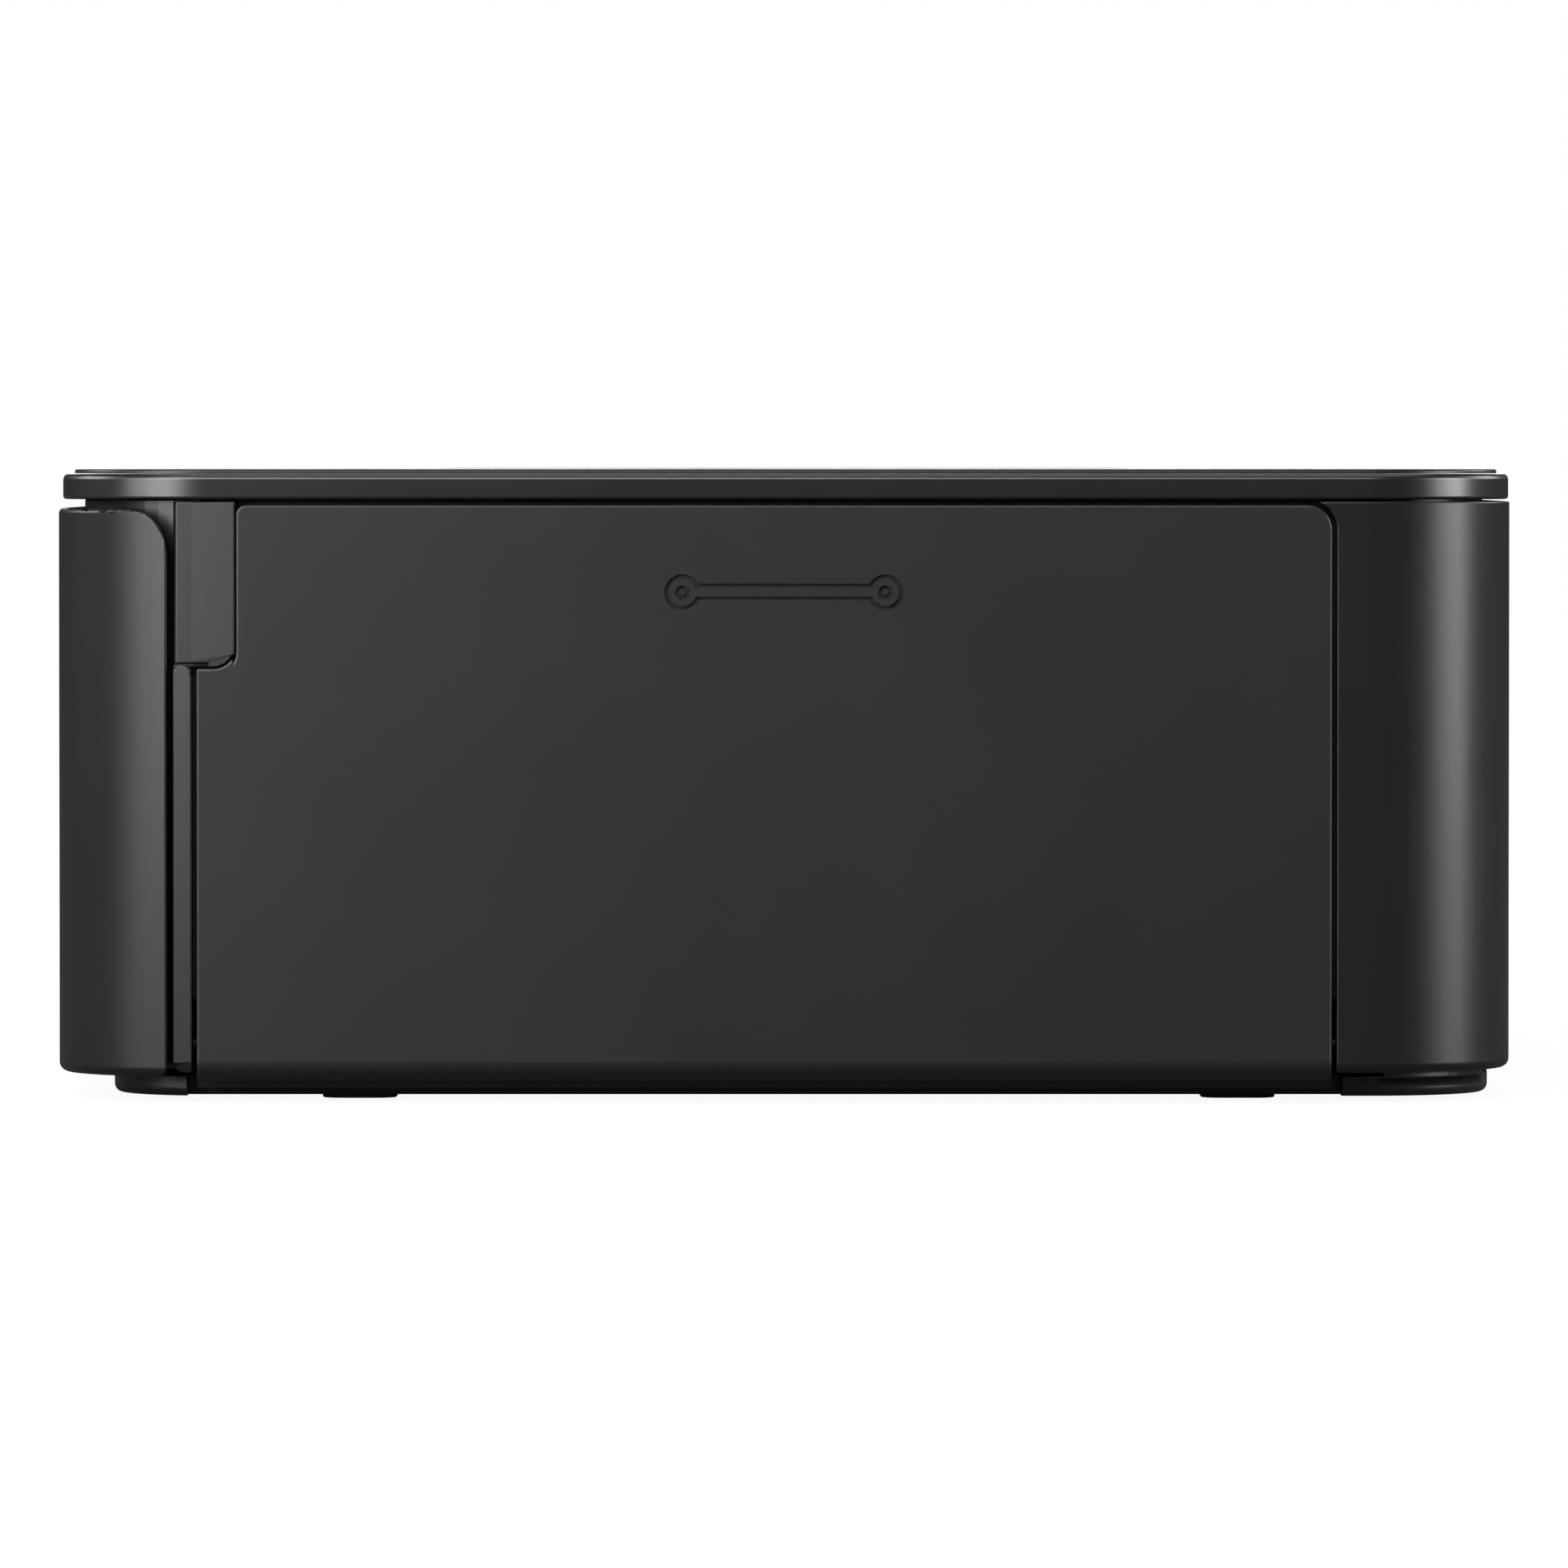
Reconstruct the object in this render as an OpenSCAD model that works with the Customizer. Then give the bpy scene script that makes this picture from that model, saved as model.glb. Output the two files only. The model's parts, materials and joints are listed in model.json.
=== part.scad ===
/* [Overall size] */
// Width from side to side
body_w = 182.2; // [178:0.1:225]
// Depth from the front cover to the back wall
body_d = 133; // [130:0.1:165]
// Height from the table to the top of the embossed panel
body_h = 57.6; // [57:0.1:72]
// Plan radius of the corners
corner_r = 14; // [12:0.5:15]

/* [Housing] */
// Wall of the main housing
wall = 2.2; // [1.8:0.1:2.4]
// Height of the rubber feet under the plinth
foot_h = 0.45; // [0.4:0.05:1]
// Height of the plinth between the feet and the housing
plinth_h = 1.95; // [1.8:0.05:3]
// Inset of the plinth under the sides
plinth_inset = 5; // [4:0.1:6]
// Thickness of the top plate
plate_t = 2.7; // [2.4:0.1:3.2]
// Shadow gap between the housing and the top plate
plate_gap = 0.5; // [0.3:0.1:0.8]
// Height of the embossed panel above the top plate
panel_rise = 0.4; // [0.3:0.05:0.6]
// Roll radius of the bottom edges
bottom_r = 0.9; // [0.6:0.1:1.2]

/* [Front cover] */
// Thickness of the wrap-around front cover
cover_t = 1.9; // [1.6:0.1:2.2]
// Gap between the front cover and the housing behind it
cover_gap = 0.5; // [0.4:0.05:0.7]
// How far the ends of the cover wrap round the sides
cover_wrap = 10.5; // [9:0.1:12]
// Radius of the cover ends at the top
cover_end_r = 3.8; // [2:0.1:5]
// Distance of the hinge axis behind the cover face
cover_hinge_in = 3.4; // [3.2:0.05:3.6]
// Radius of the cover hinge pins
cover_pin_r = 0.9; // [0.7:0.05:1]

/* [Ink door] */
// Thickness of the ink door
door_t = 2.2; // [1.8:0.1:2.4]
// Gap round the ink door
door_gap = 0.45; // [0.3:0.05:0.6]
// Distance of the door's rear edge from the back of the housing
door_back = 16.8; // [15:0.1:20]
// Width of the jamb rib in front of the door
jamb_w = 1.7; // [1.4:0.1:2]
// Width of the notch in the door's upper front corner
notch_w = 3.6; // [3:0.1:5]
// Height of the bottom of the notch
notch_z = 38.9; // [30:0.1:44]
// Radius of the door's hinge pins
door_pin_r = 1; // [0.8:0.05:1.1]

/* [Print mechanism] */
// Distance between the mechanism's side plates
mech_w = 114; // [112:0.5:118]
// Thickness of the steel side plates
side_plate_t = 1.5; // [1:0.1:2]
// Radius of the platen roller
platen_r = 6.5; // [6:0.1:6.8]
// Radius of the feed roller
feed_r = 4; // [3.5:0.1:4.4]
// Radius of the pinch roller
pinch_r = 3.5; // [3:0.1:3.6]
// Radius of the pickup roller
pickup_r = 6; // [5.5:0.1:6.4]
// Radius of the room for each ribbon spool
lobe_r = 10.5; // [10:0.1:10.8]
// Gear module
gear_m = 0.7; // [0.6:0.05:0.7]

/* [Controls] */
// Radius of the navigation ring
nav_r = 16; // [14:0.5:18]
// Radius of the centre button
ok_r = 7; // [6:0.1:8]
// Travel of every button
button_travel = 0.5; // [0.3:0.05:0.6]
// Clearance round every button
button_gap = 0.2; // [0.15:0.05:0.4]

/* [Hidden] */

// Overshoot of cutting tools
over = 1;
// Smoothness of round faces
fine = 64;
// Running clearance between a shaft and its bore
run_gap = 0.05;

// Outer limits
side_x = body_w / 2;
front_y = -body_d / 2;
back_y = body_d / 2;
case_z0 = foot_h + plinth_h;
plate_z1 = body_h - panel_rise;
plate_z0 = plate_z1 - plate_t;
case_z1 = plate_z0 - plate_gap;

// Front cover and the stepped-back front of the housing
cover_inset = cover_t + cover_gap;
cover_y1 = front_y + cover_wrap;
cover_z1 = plate_z0 - 0.9;
step_y = cover_y1 + 0.55;
step_roll_r = 1.7;
cover_hinge_y = front_y + cover_hinge_in;
cover_hinge_z = case_z0 + 1.4;
cover_lug_r = 2.1;
cover_lug_x0 = 62;
cover_lug_w = 4;
trough_r = 2.9;
front_wall_y = front_y + cover_inset;

// Ink door
door_y0 = step_y + jamb_w + door_gap;
door_y1 = back_y - door_back;
door_z0 = case_z0 - 0.8;
door_z1 = case_z1 - 0.3;
door_in_x = side_x - door_t;
door_roll_r = 1.8;
door_lip = 4.2;
door_hinge_x = side_x - 4.5;
door_hinge_z = door_z0 + 3.6;
door_ear_r = 2.4;
door_ear_w = 4;
notch_r = 2.1;
notch_gap = 0.12;
jamb_top = notch_z + 0.3;
jamb_line = 0.18;
jamb_r = 0.7;
jamb_y1 = step_y + jamb_w - 0.05;
spool_relief = 0.6;
bay_face_x = door_in_x - 0.3;
bay_face_t = wall;
pocket_x = door_hinge_x - 4;
pocket_z1 = door_hinge_z + 4.2;

// Print mechanism, placed from the centre and the base
plate_in_x = mech_w / 2;
plate_out_x = plate_in_x + side_plate_t;
paper_z = 28;
platen_z = paper_z - platen_r;
lobe_y = 24;
lobe_z = paper_z + lobe_r;
feed_y = 44;
feed_z = paper_z - 0.4 - feed_r;
pinch_z = paper_z - 0.2 + pinch_r;
pickup_y = -44;
pickup_z = 19.5 + pickup_r;
slot_half_w = 55.5;
slot_z0 = 5.6;
slot_z1 = 18.6;
slot_depth_y = -22;
guide_t = 1.4;
shaft_r = 2;
thin_shaft_r = 1.5;
bush_t = 1;
head_half_w = 53;
head_pivot_y = 46;
head_pivot_z = 48.4;
head_y = -0.7;
bracket_z0 = 50.3;
bracket_t = 1.2;

// Lever that lifts the ribbon cassette's catch
eject_y = -39.5;
eject_w = 3;
eject_z0 = 30;
eject_pad_h = 4.5;
eject_travel = 4;

// Gears: teeth, and centres that follow from the module
pressure_angle = 20;
gear_addendum = 0.9;
gear_root = 1.2;
backlash = 0.16;
pinion_teeth = 14;
feed_teeth = 42;
ribbon_teeth = 24;
pickup_teeth = 26;
gear_x = -plate_out_x - 4.6;
gear_t = 3.2;
gear_plate_x = -plate_out_x - 8;
feed_centre = gear_m * (feed_teeth + pinion_teeth) / 2;
ribbon_centre = gear_m * (ribbon_teeth + pinion_teeth) / 2;
pickup_centre = gear_m * (pickup_teeth + pinion_teeth) / 2;
feed_angle = 190;
ribbon_angle = 165;
pickup_angle = 0;
feed_pinion_y = feed_y + feed_centre * cos(feed_angle);
feed_pinion_z = feed_z + feed_centre * sin(feed_angle);
ribbon_pinion_y = lobe_y + ribbon_centre * cos(ribbon_angle);
ribbon_pinion_z = lobe_z + ribbon_centre * sin(ribbon_angle);
pickup_pinion_y = pickup_y + pickup_centre;
pickup_pinion_z = pickup_z;
motor_shaft_r = 1;
web_sink = 0.9;

// Controls on the right of the top plate
button_top = body_h - 0.1;
button_flange_t = 0.7;
button_flange_w = 0.9;
plate_skin_t = 1.7;
plate_under = plate_z1 - plate_skin_t;
board_t = 0.8;
board_z1 = plate_z0 - 1.8;
dome_h = 0.25;
nav_at = [52, -8];
menu_at = [33, 22];
edit_at = [52, 26];
back_at = [71, 22];
print_at = [52, -40];
power_at = [74, 47];
wireless_at = [33, 47];
pill_w = 13;
pill_d = 7;
print_w = 28;
print_d = 10;
round_r = 4.5;

// Display on the left of the top plate
lens_w = 88;
lens_d = 72;
lens_x = -30;
lens_y = 0;
lens_t = 1.1;
lcd_w = 78;
lcd_d = 62;

// Rear wall
exit_half_w = 53.5;
exit_z0 = 25.8;
exit_z1 = 30.4;
groove_deep = 0.3;
fan_w = 19;
fan_t = 9;
fan_x = side_x - 22.9;
fan_z = 36;
inlet_x = -side_x + 17;
inlet_z = 16.5;
inlet_r = 3.5;

// Boards inside the housing
board_x = -side_x + wall + 3;
power_board_z = 12;
pcb_t = 1.6;
function main_post_centres() = [for (y = [-46, -4], z = [13, 46]) [y, z]];
function power_post_centres() = [for (x = [plate_out_x + 4.8, pocket_x - 5], y = [-34, 34]) [x, y]];
function control_post_centres() = [for (x = [23, 81], y = [-49, 51]) [x, y]];

// ---- shared shapes ----

// Side view of a slab edge: rounded by rt at the top and rb at the bottom
module edge_profile(run, h, rt, rb) {
  difference() {
    square([run, h]);
    if (rt > 0) translate([run - rt, h - rt]) square(rt + over);
    if (rb > 0) translate([run - rb, -over]) square([rb + over, rb + over]);
  }
  if (rt > 0) translate([run - rt, h - rt]) quarter_disc(rt);
  if (rb > 0) translate([run - rb, rb]) mirror([0, 1]) quarter_disc(rb);
}

module quarter_disc(r) intersection() {
  circle(r, $fn = fine);
  square(r + over);
}

// Slab with rounded edges, symmetric in X, with plan radii rf in front and rr behind
module slab(half_w, y0, y1, z0, z1, rf, rr, rt = 0, rb = 0) {
  mid = (y0 + y1) / 2;
  translate([0, 0, z0]) for (side = [0, 1]) mirror([side, 0, 0]) {
    translate([half_w - rf, y0 + rf, 0]) rotate([0, 0, -90])
      rotate_extrude(angle = 90, $fn = fine) edge_profile(rf, z1 - z0, rt, rb);
    translate([half_w - rr, y1 - rr, 0])
      rotate_extrude(angle = 90, $fn = fine) edge_profile(rr, z1 - z0, rt, rb);
    translate([0, y1 - rr, 0]) rotate([90, 0, 0])
      linear_extrude(y1 - rr - y0 - rf) edge_profile(half_w, z1 - z0, rt, rb);
  }
  translate([rf - half_w, mid, z0]) rotate([90, 0, 90]) mirror([1, 0, 0])
    linear_extrude(2 * (half_w - rf)) edge_profile(mid - y0, z1 - z0, rt, rb);
  translate([rr - half_w, mid, z0]) rotate([90, 0, 90])
    linear_extrude(2 * (half_w - rr)) edge_profile(y1 - mid, z1 - z0, rt, rb);
}

// Flat rounded rectangle, centred
module rounded_rect(w, d, r) {
  square([w - 2 * r, d], center = true);
  square([w, d - 2 * r], center = true);
  for (x = [-1, 1], y = [-1, 1]) translate([x * (w / 2 - r), y * (d / 2 - r)]) circle(r, $fn = fine);
}

// Extrude a side view drawn in Y and Z from x0 to x1
module along_x(x0, x1) {
  translate([x0, 0, 0]) rotate([90, 0, 90]) linear_extrude(x1 - x0) children();
}

// Extrude an end view drawn in X and Z from y0 to y1
module along_y(y0, y1) {
  translate([0, y1, 0]) rotate([90, 0, 0]) linear_extrude(y1 - y0) children();
}

// Round bar along X
module bar_x(x0, x1, y, z, r) {
  translate([x0, y, z]) rotate([0, 90, 0]) cylinder(h = x1 - x0, r = r, $fn = fine);
}

// Round bar along Y
module bar_y(y0, y1, x, z, r) {
  translate([x, y1, z]) rotate([90, 0, 0]) cylinder(h = y1 - y0, r = r, $fn = fine);
}

// Box between two corners
module block(from, to) {
  translate(from) cube(to - from);
}

function inv(a) = tan(a) - a * PI / 180;

// Half the angle of a tooth at radius r
function tooth_half(teeth, r) =
  let (pitch = gear_m * teeth / 2, base = pitch * cos(pressure_angle))
  90 / teeth - backlash / 2 / pitch * 180 / PI
  + (inv(pressure_angle) - inv(acos(min(1, base / r)))) * 180 / PI;

// Outline of an involute gear with one tooth on the first axis
function gear_points(teeth) =
  let (
    pitch = gear_m * teeth / 2,
    base = pitch * cos(pressure_angle),
    root = pitch - gear_root * gear_m,
    tip = pitch + gear_addendum * gear_m,
    start = max(root, base),
    radii = [root, start, (start + pitch) / 2, pitch, (pitch + tip) / 2, tip]
  )
  [for (i = [0 : teeth - 1], side = [-1, 1], k = [0 : 5])
    let (r = radii[side < 0 ? k : 5 - k], a = i * 360 / teeth + side * tooth_half(teeth, max(r, start)))
    if (k != (side < 0 ? 0 : 5) || root < base) [r * cos(a), r * sin(a)]];

// Spur gear on an axis along X, turned so that a tooth or a gap faces its partner
module gear_x_axis(teeth, x0, t, y, z, turn, bore_r) {
  rim_r = gear_m * (teeth / 2 - gear_root) - 1.3;
  hub_r = bore_r + 1.6;
  hole_r = (rim_r - hub_r) / 2 - 0.7;
  translate([0, y, z]) difference() {
    along_x(x0, x0 + t) difference() {
      rotate(turn) polygon(gear_points(teeth));
      circle(bore_r, $fn = fine);
      if (hole_r > 1) for (a = [0 : 72 : 288]) rotate(a) translate([(rim_r + hub_r) / 2, 0])
        circle(hole_r, $fn = fine);
    }
    if (rim_r > hub_r + 1) for (x = [x0 - over, x0 + t - web_sink]) along_x(x, x + over + web_sink)
      difference() {
        circle(rim_r, $fn = fine);
        circle(hub_r, $fn = fine);
      }
  }
}

// ---- housing ----

module base_plate() color([0.13, 0.13, 0.13]) difference() {
  union() {
    slab(side_x - plinth_inset, front_y + 5, back_y - 1.85, foot_h, case_z0, 10, 11, 0, 0.8);
    slab(side_x - wall - 0.2, step_y + wall + 0.2, back_y - wall - 0.2, case_z0 - 0.2, case_z0 + 1.6,
      1, corner_r - 0.7 - wall);
    slab(side_x - cover_inset - wall - 0.2, cover_hinge_y + trough_r + 1.8, 0,
      case_z0 - 0.2, case_z0 + 1.6, 8, 2);
    for (p = power_post_centres()) translate([p[0], p[1], case_z0 + 1.4])
      cylinder(h = power_board_z - case_z0 - 1.4, r = 2, $fn = fine);
  }
  translate([0, 2, -over]) linear_extrude(over + foot_h + 0.3) rounded_rect(96, 52, 3);
  for (s = [-1, 1], i = [0 : 5]) translate([s * 66, 10 + 4 * i, -over]) linear_extrude(over + foot_h + 0.6)
    rounded_rect(16, 1.6, 0.79);
  // room for the lugs of the front cover
  for (s = [0, 1]) mirror([s, 0, 0])
    bar_x(cover_lug_x0 - 0.4, cover_lug_x0 + cover_lug_w + 0.4, cover_hinge_y, cover_hinge_z, trough_r);
  block([pocket_x - 0.3, door_y0 - door_gap - 0.6, -over], [side_x, door_y1 + door_gap + 0.6, case_z0 + 3]);
  block([pocket_x - 1.9, door_y0 - door_gap - 4.3, case_z0], [side_x, door_y1 + door_gap + 4.3, case_z0 + 3]);
  for (p = foot_centres()) translate([p[0], p[1], -over]) linear_extrude(over + foot_h + 0.5)
    rounded_rect(foot_l + 0.2, foot_w + 0.2, 2.1);
  for (p = screw_centres()) translate([p[0], p[1], -over]) {
    cylinder(h = over + foot_h + 1.6, r = 2.6, $fn = fine);
    cylinder(h = 10, r = 1.4, $fn = fine);
  }
}

foot_l = 12;
foot_w = 6.8;
function foot_centres() = [for (x = [-1, 1], y = [front_y + 27.6, back_y - 24.9]) [x * (side_x - 17), y]];
function screw_centres() = [for (x = [-1, 1], p = [[side_x - 14, step_y + 8.4], [side_x - 11.5, back_y - 11]])
  [x * p[0], p[1]]];

module rubber_feet() color([0.55, 0.55, 0.54])
  for (p = foot_centres()) translate([p[0], p[1], 0]) linear_extrude(foot_h + 0.5)
    rounded_rect(foot_l, foot_w, 2);

module base_screws() color([0.7, 0.7, 0.72])
  for (p = screw_centres()) translate([p[0], p[1], foot_h + 0.1]) {
    difference() {
      cylinder(h = 1.5, r = 2.3, $fn = fine);
      translate([-0.9, -0.25, -over]) cube([1.8, 0.5, over + 0.7]);
      translate([-0.25, -0.9, -over]) cube([0.5, 1.8, over + 0.7]);
    }
    cylinder(h = 8, r = 1.15, $fn = fine);
  }

// Outline of the door in Y and Z, grown by g, with its stepped upper front corner grown by gn
module door_outline(g = 0, gn = 0) {
  top_r = 0.9 + gn;
  back_r = 2.2 + g;
  inner_r = notch_r - gn;
  y0 = door_y0 - g;
  y1 = door_y1 + g;
  yn = door_y0 + notch_w - gn;
  zn = notch_z + gn;
  z1 = door_z1 + g;
  difference() {
    translate([y0, door_z0 - g]) square([y1 - y0, z1 - door_z0 + g]);
    translate([y0 - over, zn]) square([yn - y0 + over, z1 - zn + over]);
    translate([yn, z1 - top_r]) square(top_r + over);
    translate([y1 - back_r, z1 - back_r]) square(back_r + over);
  }
  translate([yn + top_r, z1 - top_r]) circle(top_r, $fn = fine);
  translate([yn + top_r, z1 - top_r]) square([top_r, top_r]);
  translate([y1 - back_r, z1 - back_r]) circle(back_r, $fn = fine);
  difference() {
    translate([yn - inner_r, zn - over]) square(inner_r + over);
    translate([yn - inner_r, zn + inner_r]) circle(inner_r, $fn = fine);
    translate([yn - 4 * inner_r, zn + inner_r]) square(3 * inner_r);
  }
}

// Outline of the ink bay in Y and Z: two spool rooms and the bridge between them
module bay_outline(g = 0) {
  for (s = [-1, 1]) translate([s * lobe_y, lobe_z]) circle(lobe_r + g, $fn = fine);
  translate([-lobe_y, lobe_z - lobe_r + 3 - g]) square([2 * lobe_y, 2 * lobe_r - 6 + 2 * g]);
}

module housing_outside() {
  slab(side_x, step_y, back_y, case_z0, case_z1, step_roll_r, corner_r - 0.5, 0, bottom_r);
  // square-edged rib between the cover and the door
  block([side_x - 3, step_y, case_z0 + bottom_r], [side_x, jamb_y1 + 1, jamb_top]);
  slab(side_x - cover_inset, front_wall_y, 0, case_z0 + 0.2, plate_z0, corner_r - cover_inset, 2, 0, 1);
}

module housing_inside() {
  slab(side_x - wall, step_y + wall, back_y - wall, -over, body_h, 1, corner_r - 0.5 - wall);
  slab(side_x - cover_inset - wall, front_wall_y + wall, 0, -over, body_h, corner_r - cover_inset - wall, 2);
}

// Walls and bosses that stand inside the housing
module housing_inner_walls() {
  door_from = door_y0 - door_gap - 4;
  door_to = door_y1 + door_gap + 4;
  // wall behind the ink door, and the pocket for its hinge
  block([bay_face_x - bay_face_t, door_from, case_z0 + 0.2], [side_x, door_to, case_z1]);
  block([pocket_x - 1.6, door_from, case_z0 + 0.2], [side_x, door_to, pocket_z1 + 1.5]);
  // trough of the front cover hinge
  for (s = [0, 1]) mirror([s, 0, 0])
    block([cover_lug_x0 - 5, front_y, case_z0 + 0.2],
      [side_x, cover_hinge_y + trough_r + 1.6, cover_hinge_z + trough_r + 1.6]);
  // rails of the eject lever
  for (y = [-1, 1] * (eject_w / 2 + 0.6)) block([bay_face_x - bay_face_t - 2.6, eject_y + y - 0.5, eject_z0 - 8],
    [bay_face_x, eject_y + y + 0.5, eject_z0 + 14]);
  block([bay_face_x - bay_face_t - 2.6, eject_y - eject_w / 2 - 0.6, eject_z0 - 8],
    [bay_face_x, eject_y + eject_w / 2 + 0.6, eject_z0 - 6]);
  // posts of the main board
  for (p = main_post_centres()) bar_x(-side_x + 0.5, board_x, p[0], p[1], 2);
  // screw bosses, each with a rib to the side wall
  for (p = screw_centres()) {
    translate([p[0], p[1], case_z0 + 1.6]) cylinder(h = 8, r = 3, $fn = fine);
    mirror([p[0] < 0 ? 1 : 0, 0, 0])
      block([abs(p[0]), p[1] - 0.7, case_z0 + 1.6], [side_x, p[1] + 0.7, case_z0 + 5]);
  }
}

module housing() color([0.21, 0.21, 0.21]) difference() {
  housing_outside();
  difference() {
    housing_inside();
    housing_inner_walls();
  }
  for (p = screw_centres()) translate([p[0], p[1], case_z0]) cylinder(h = 8, r = 1.15, $fn = fine);
  // recess and hinge pocket of the ink door
  along_x(bay_face_x, side_x + over) door_outline(door_gap, notch_gap);
  block([bay_face_x, door_y0 + notch_w - notch_gap, door_z1 - 3],
    [side_x + over, door_y1 + door_gap - 2.6, body_h]);
  block([bay_face_x, door_y0 - door_gap, -over], [side_x + over, door_y1 + door_gap, door_z0 + over]);
  block([pocket_x, door_y0 - door_gap, -over], [side_x + over, door_y1 + door_gap, pocket_z1]);
  along_x(bay_face_x - bay_face_t - 3, side_x + over) bay_outline(1.5);
  block([bay_face_x - bay_face_t - over, -5, door_z1 - 4.6], [side_x, 5, door_z1 - 1.4]);
  for (y = [door_y0 - door_gap - 3, door_y1 - 2])
    bar_y(y, y + 3 + door_gap + 2, door_hinge_x, door_hinge_z, door_pin_r);
  // line over the rounded top of the jamb rib
  along_x(side_x - 0.9, side_x + over) difference() {
    translate([step_y - over, jamb_top - jamb_r]) square([jamb_w + door_gap + 2 * over, jamb_r + jamb_line]);
    translate([step_y + jamb_r, jamb_top - jamb_r]) circle(jamb_r, $fn = fine);
    translate([jamb_y1 - jamb_r, jamb_top - jamb_r]) circle(jamb_r, $fn = fine);
    translate([step_y + jamb_r, jamb_top - 2 * jamb_r]) square([jamb_y1 - step_y - 2 * jamb_r, 2 * jamb_r]);
  }
  // window of the eject lever in the wall behind the door
  block([bay_face_x - bay_face_t - over, eject_y - 1.6, eject_z0 - 0.5],
    [side_x, eject_y + 1.6, eject_z0 + eject_pad_h + eject_travel + 0.5]);
  // swing room and pins of the front cover
  for (s = [0, 1]) mirror([s, 0, 0]) {
    bar_x(cover_lug_x0 - 0.4, side_x + over, cover_hinge_y, cover_hinge_z, trough_r);
    block([cover_lug_x0 - 0.4, front_y, -over], [side_x + over, cover_hinge_y + trough_r, cover_hinge_z]);
    block([cover_lug_x0 - 0.4, front_y, cover_hinge_z - 1],
      [side_x + over, cover_hinge_y, cover_hinge_z + trough_r]);
    bar_x(cover_lug_x0 - 4, cover_lug_x0, cover_hinge_y, cover_hinge_z, cover_pin_r);
    block([cover_lug_x0 + 2, front_y, cover_z1 - 5],
      [cover_lug_x0 + 10, front_wall_y + wall + over, cover_z1 - 2.6]);
  }
  // paper cassette slot in front
  block([-slot_half_w - guide_t, front_y, slot_z0 - guide_t],
    [slot_half_w + guide_t, front_y + 12, slot_z1 + guide_t]);
  // rear: paper exit, grooves, vents, inlet and terminal cover
  block([-exit_half_w, back_y - 2 * wall, exit_z0], [exit_half_w, back_y + over, exit_z1]);
  for (z = [22.7, 41.2]) block([-side_x + corner_r, back_y - groove_deep, z - 1],
    [side_x - corner_r, back_y + over, z]);
  along_x(-side_x + corner_r, side_x - corner_r) translate([back_y + 7.6, 6.9]) circle(8, $fn = fine);
  for (i = [0 : 6], row = [0, 1]) translate([fan_x - 7.55 + i * 2.3, back_y - 2 * wall, fan_z - 8 + row * 8.5])
    cube([1.3, 10, 7.5]);
  for (i = [-9 : 9]) translate([i * 5 - 1.1, back_y - 2 * wall, 44.5]) cube([2.2, 10, 6]);
  bar_y(back_y - 2 * wall, back_y + over, inlet_x, inlet_z, inlet_r + 0.2);
  along_y(back_y - 1.2, back_y + over) translate([0, 15.75]) rounded_rect(30.4, 8.9, 1);
  // left side: card slot and port
  block([-side_x - over, -46, 30], [-side_x + 2 * wall, -20, 33.2]);
  translate([0, -33, 18]) along_x(-side_x - over, -side_x + 2 * wall) rounded_rect(9.4, 3.6, 1.7);
}

module cover_hinge_pins() color([0.75, 0.75, 0.77])
  for (s = [0, 1]) mirror([s, 0, 0])
    bar_x(cover_lug_x0 - 4, cover_lug_x0 + cover_lug_w - 0.6, cover_hinge_y, cover_hinge_z, cover_pin_r);

module door_hinge_pins() color([0.75, 0.75, 0.77]) {
  bar_y(door_y0 - door_gap - 3, door_y0 + door_ear_w - 0.6, door_hinge_x, door_hinge_z, door_pin_r);
  bar_y(door_y1 - door_ear_w + 0.6, door_y1 + door_gap + 3, door_hinge_x, door_hinge_z, door_pin_r);
}

module front_cover() color([0.2, 0.2, 0.2]) difference() {
  union() {
    difference() {
      intersection() {
        slab(side_x, front_y, 0, case_z0, cover_z1, corner_r, 2, 0.5, bottom_r);
        along_x(-side_x - over, side_x + over) {
          translate([front_y - over, 0]) square([cover_wrap + over - cover_end_r, body_h]);
          translate([front_y - over, case_z0 + bottom_r])
            square([cover_wrap + over, cover_z1 - cover_end_r - case_z0 - bottom_r]);
          translate([cover_y1 - cover_end_r, cover_z1 - cover_end_r]) circle(cover_end_r, $fn = fine);
          translate([cover_y1 - bottom_r, case_z0 + bottom_r]) circle(bottom_r, $fn = fine);
          translate([front_y - over, 0]) square([cover_wrap + over - bottom_r, case_z0 + bottom_r + 1]);
        }
      }
      slab(side_x - cover_t, front_y + cover_t, over, -over, body_h, corner_r - cover_t, 2);
    }
    for (s = [0, 1]) mirror([s, 0, 0]) {
      bar_x(cover_lug_x0, cover_lug_x0 + cover_lug_w, cover_hinge_y, cover_hinge_z, cover_lug_r);
      block([cover_lug_x0, front_y + 1, cover_hinge_z - 1.2],
        [cover_lug_x0 + cover_lug_w, cover_hinge_y, cover_hinge_z + cover_lug_r]);
      block([cover_lug_x0 + 3, front_y + 1, cover_z1 - 4.4],
        [cover_lug_x0 + 9, front_wall_y + wall - 0.4, cover_z1 - 3.2]);
    }
  }
  for (s = [0, 1]) mirror([s, 0, 0])
    bar_x(cover_lug_x0 - over, cover_lug_x0 + cover_lug_w + over, cover_hinge_y, cover_hinge_z,
      cover_pin_r + run_gap);
}

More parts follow.
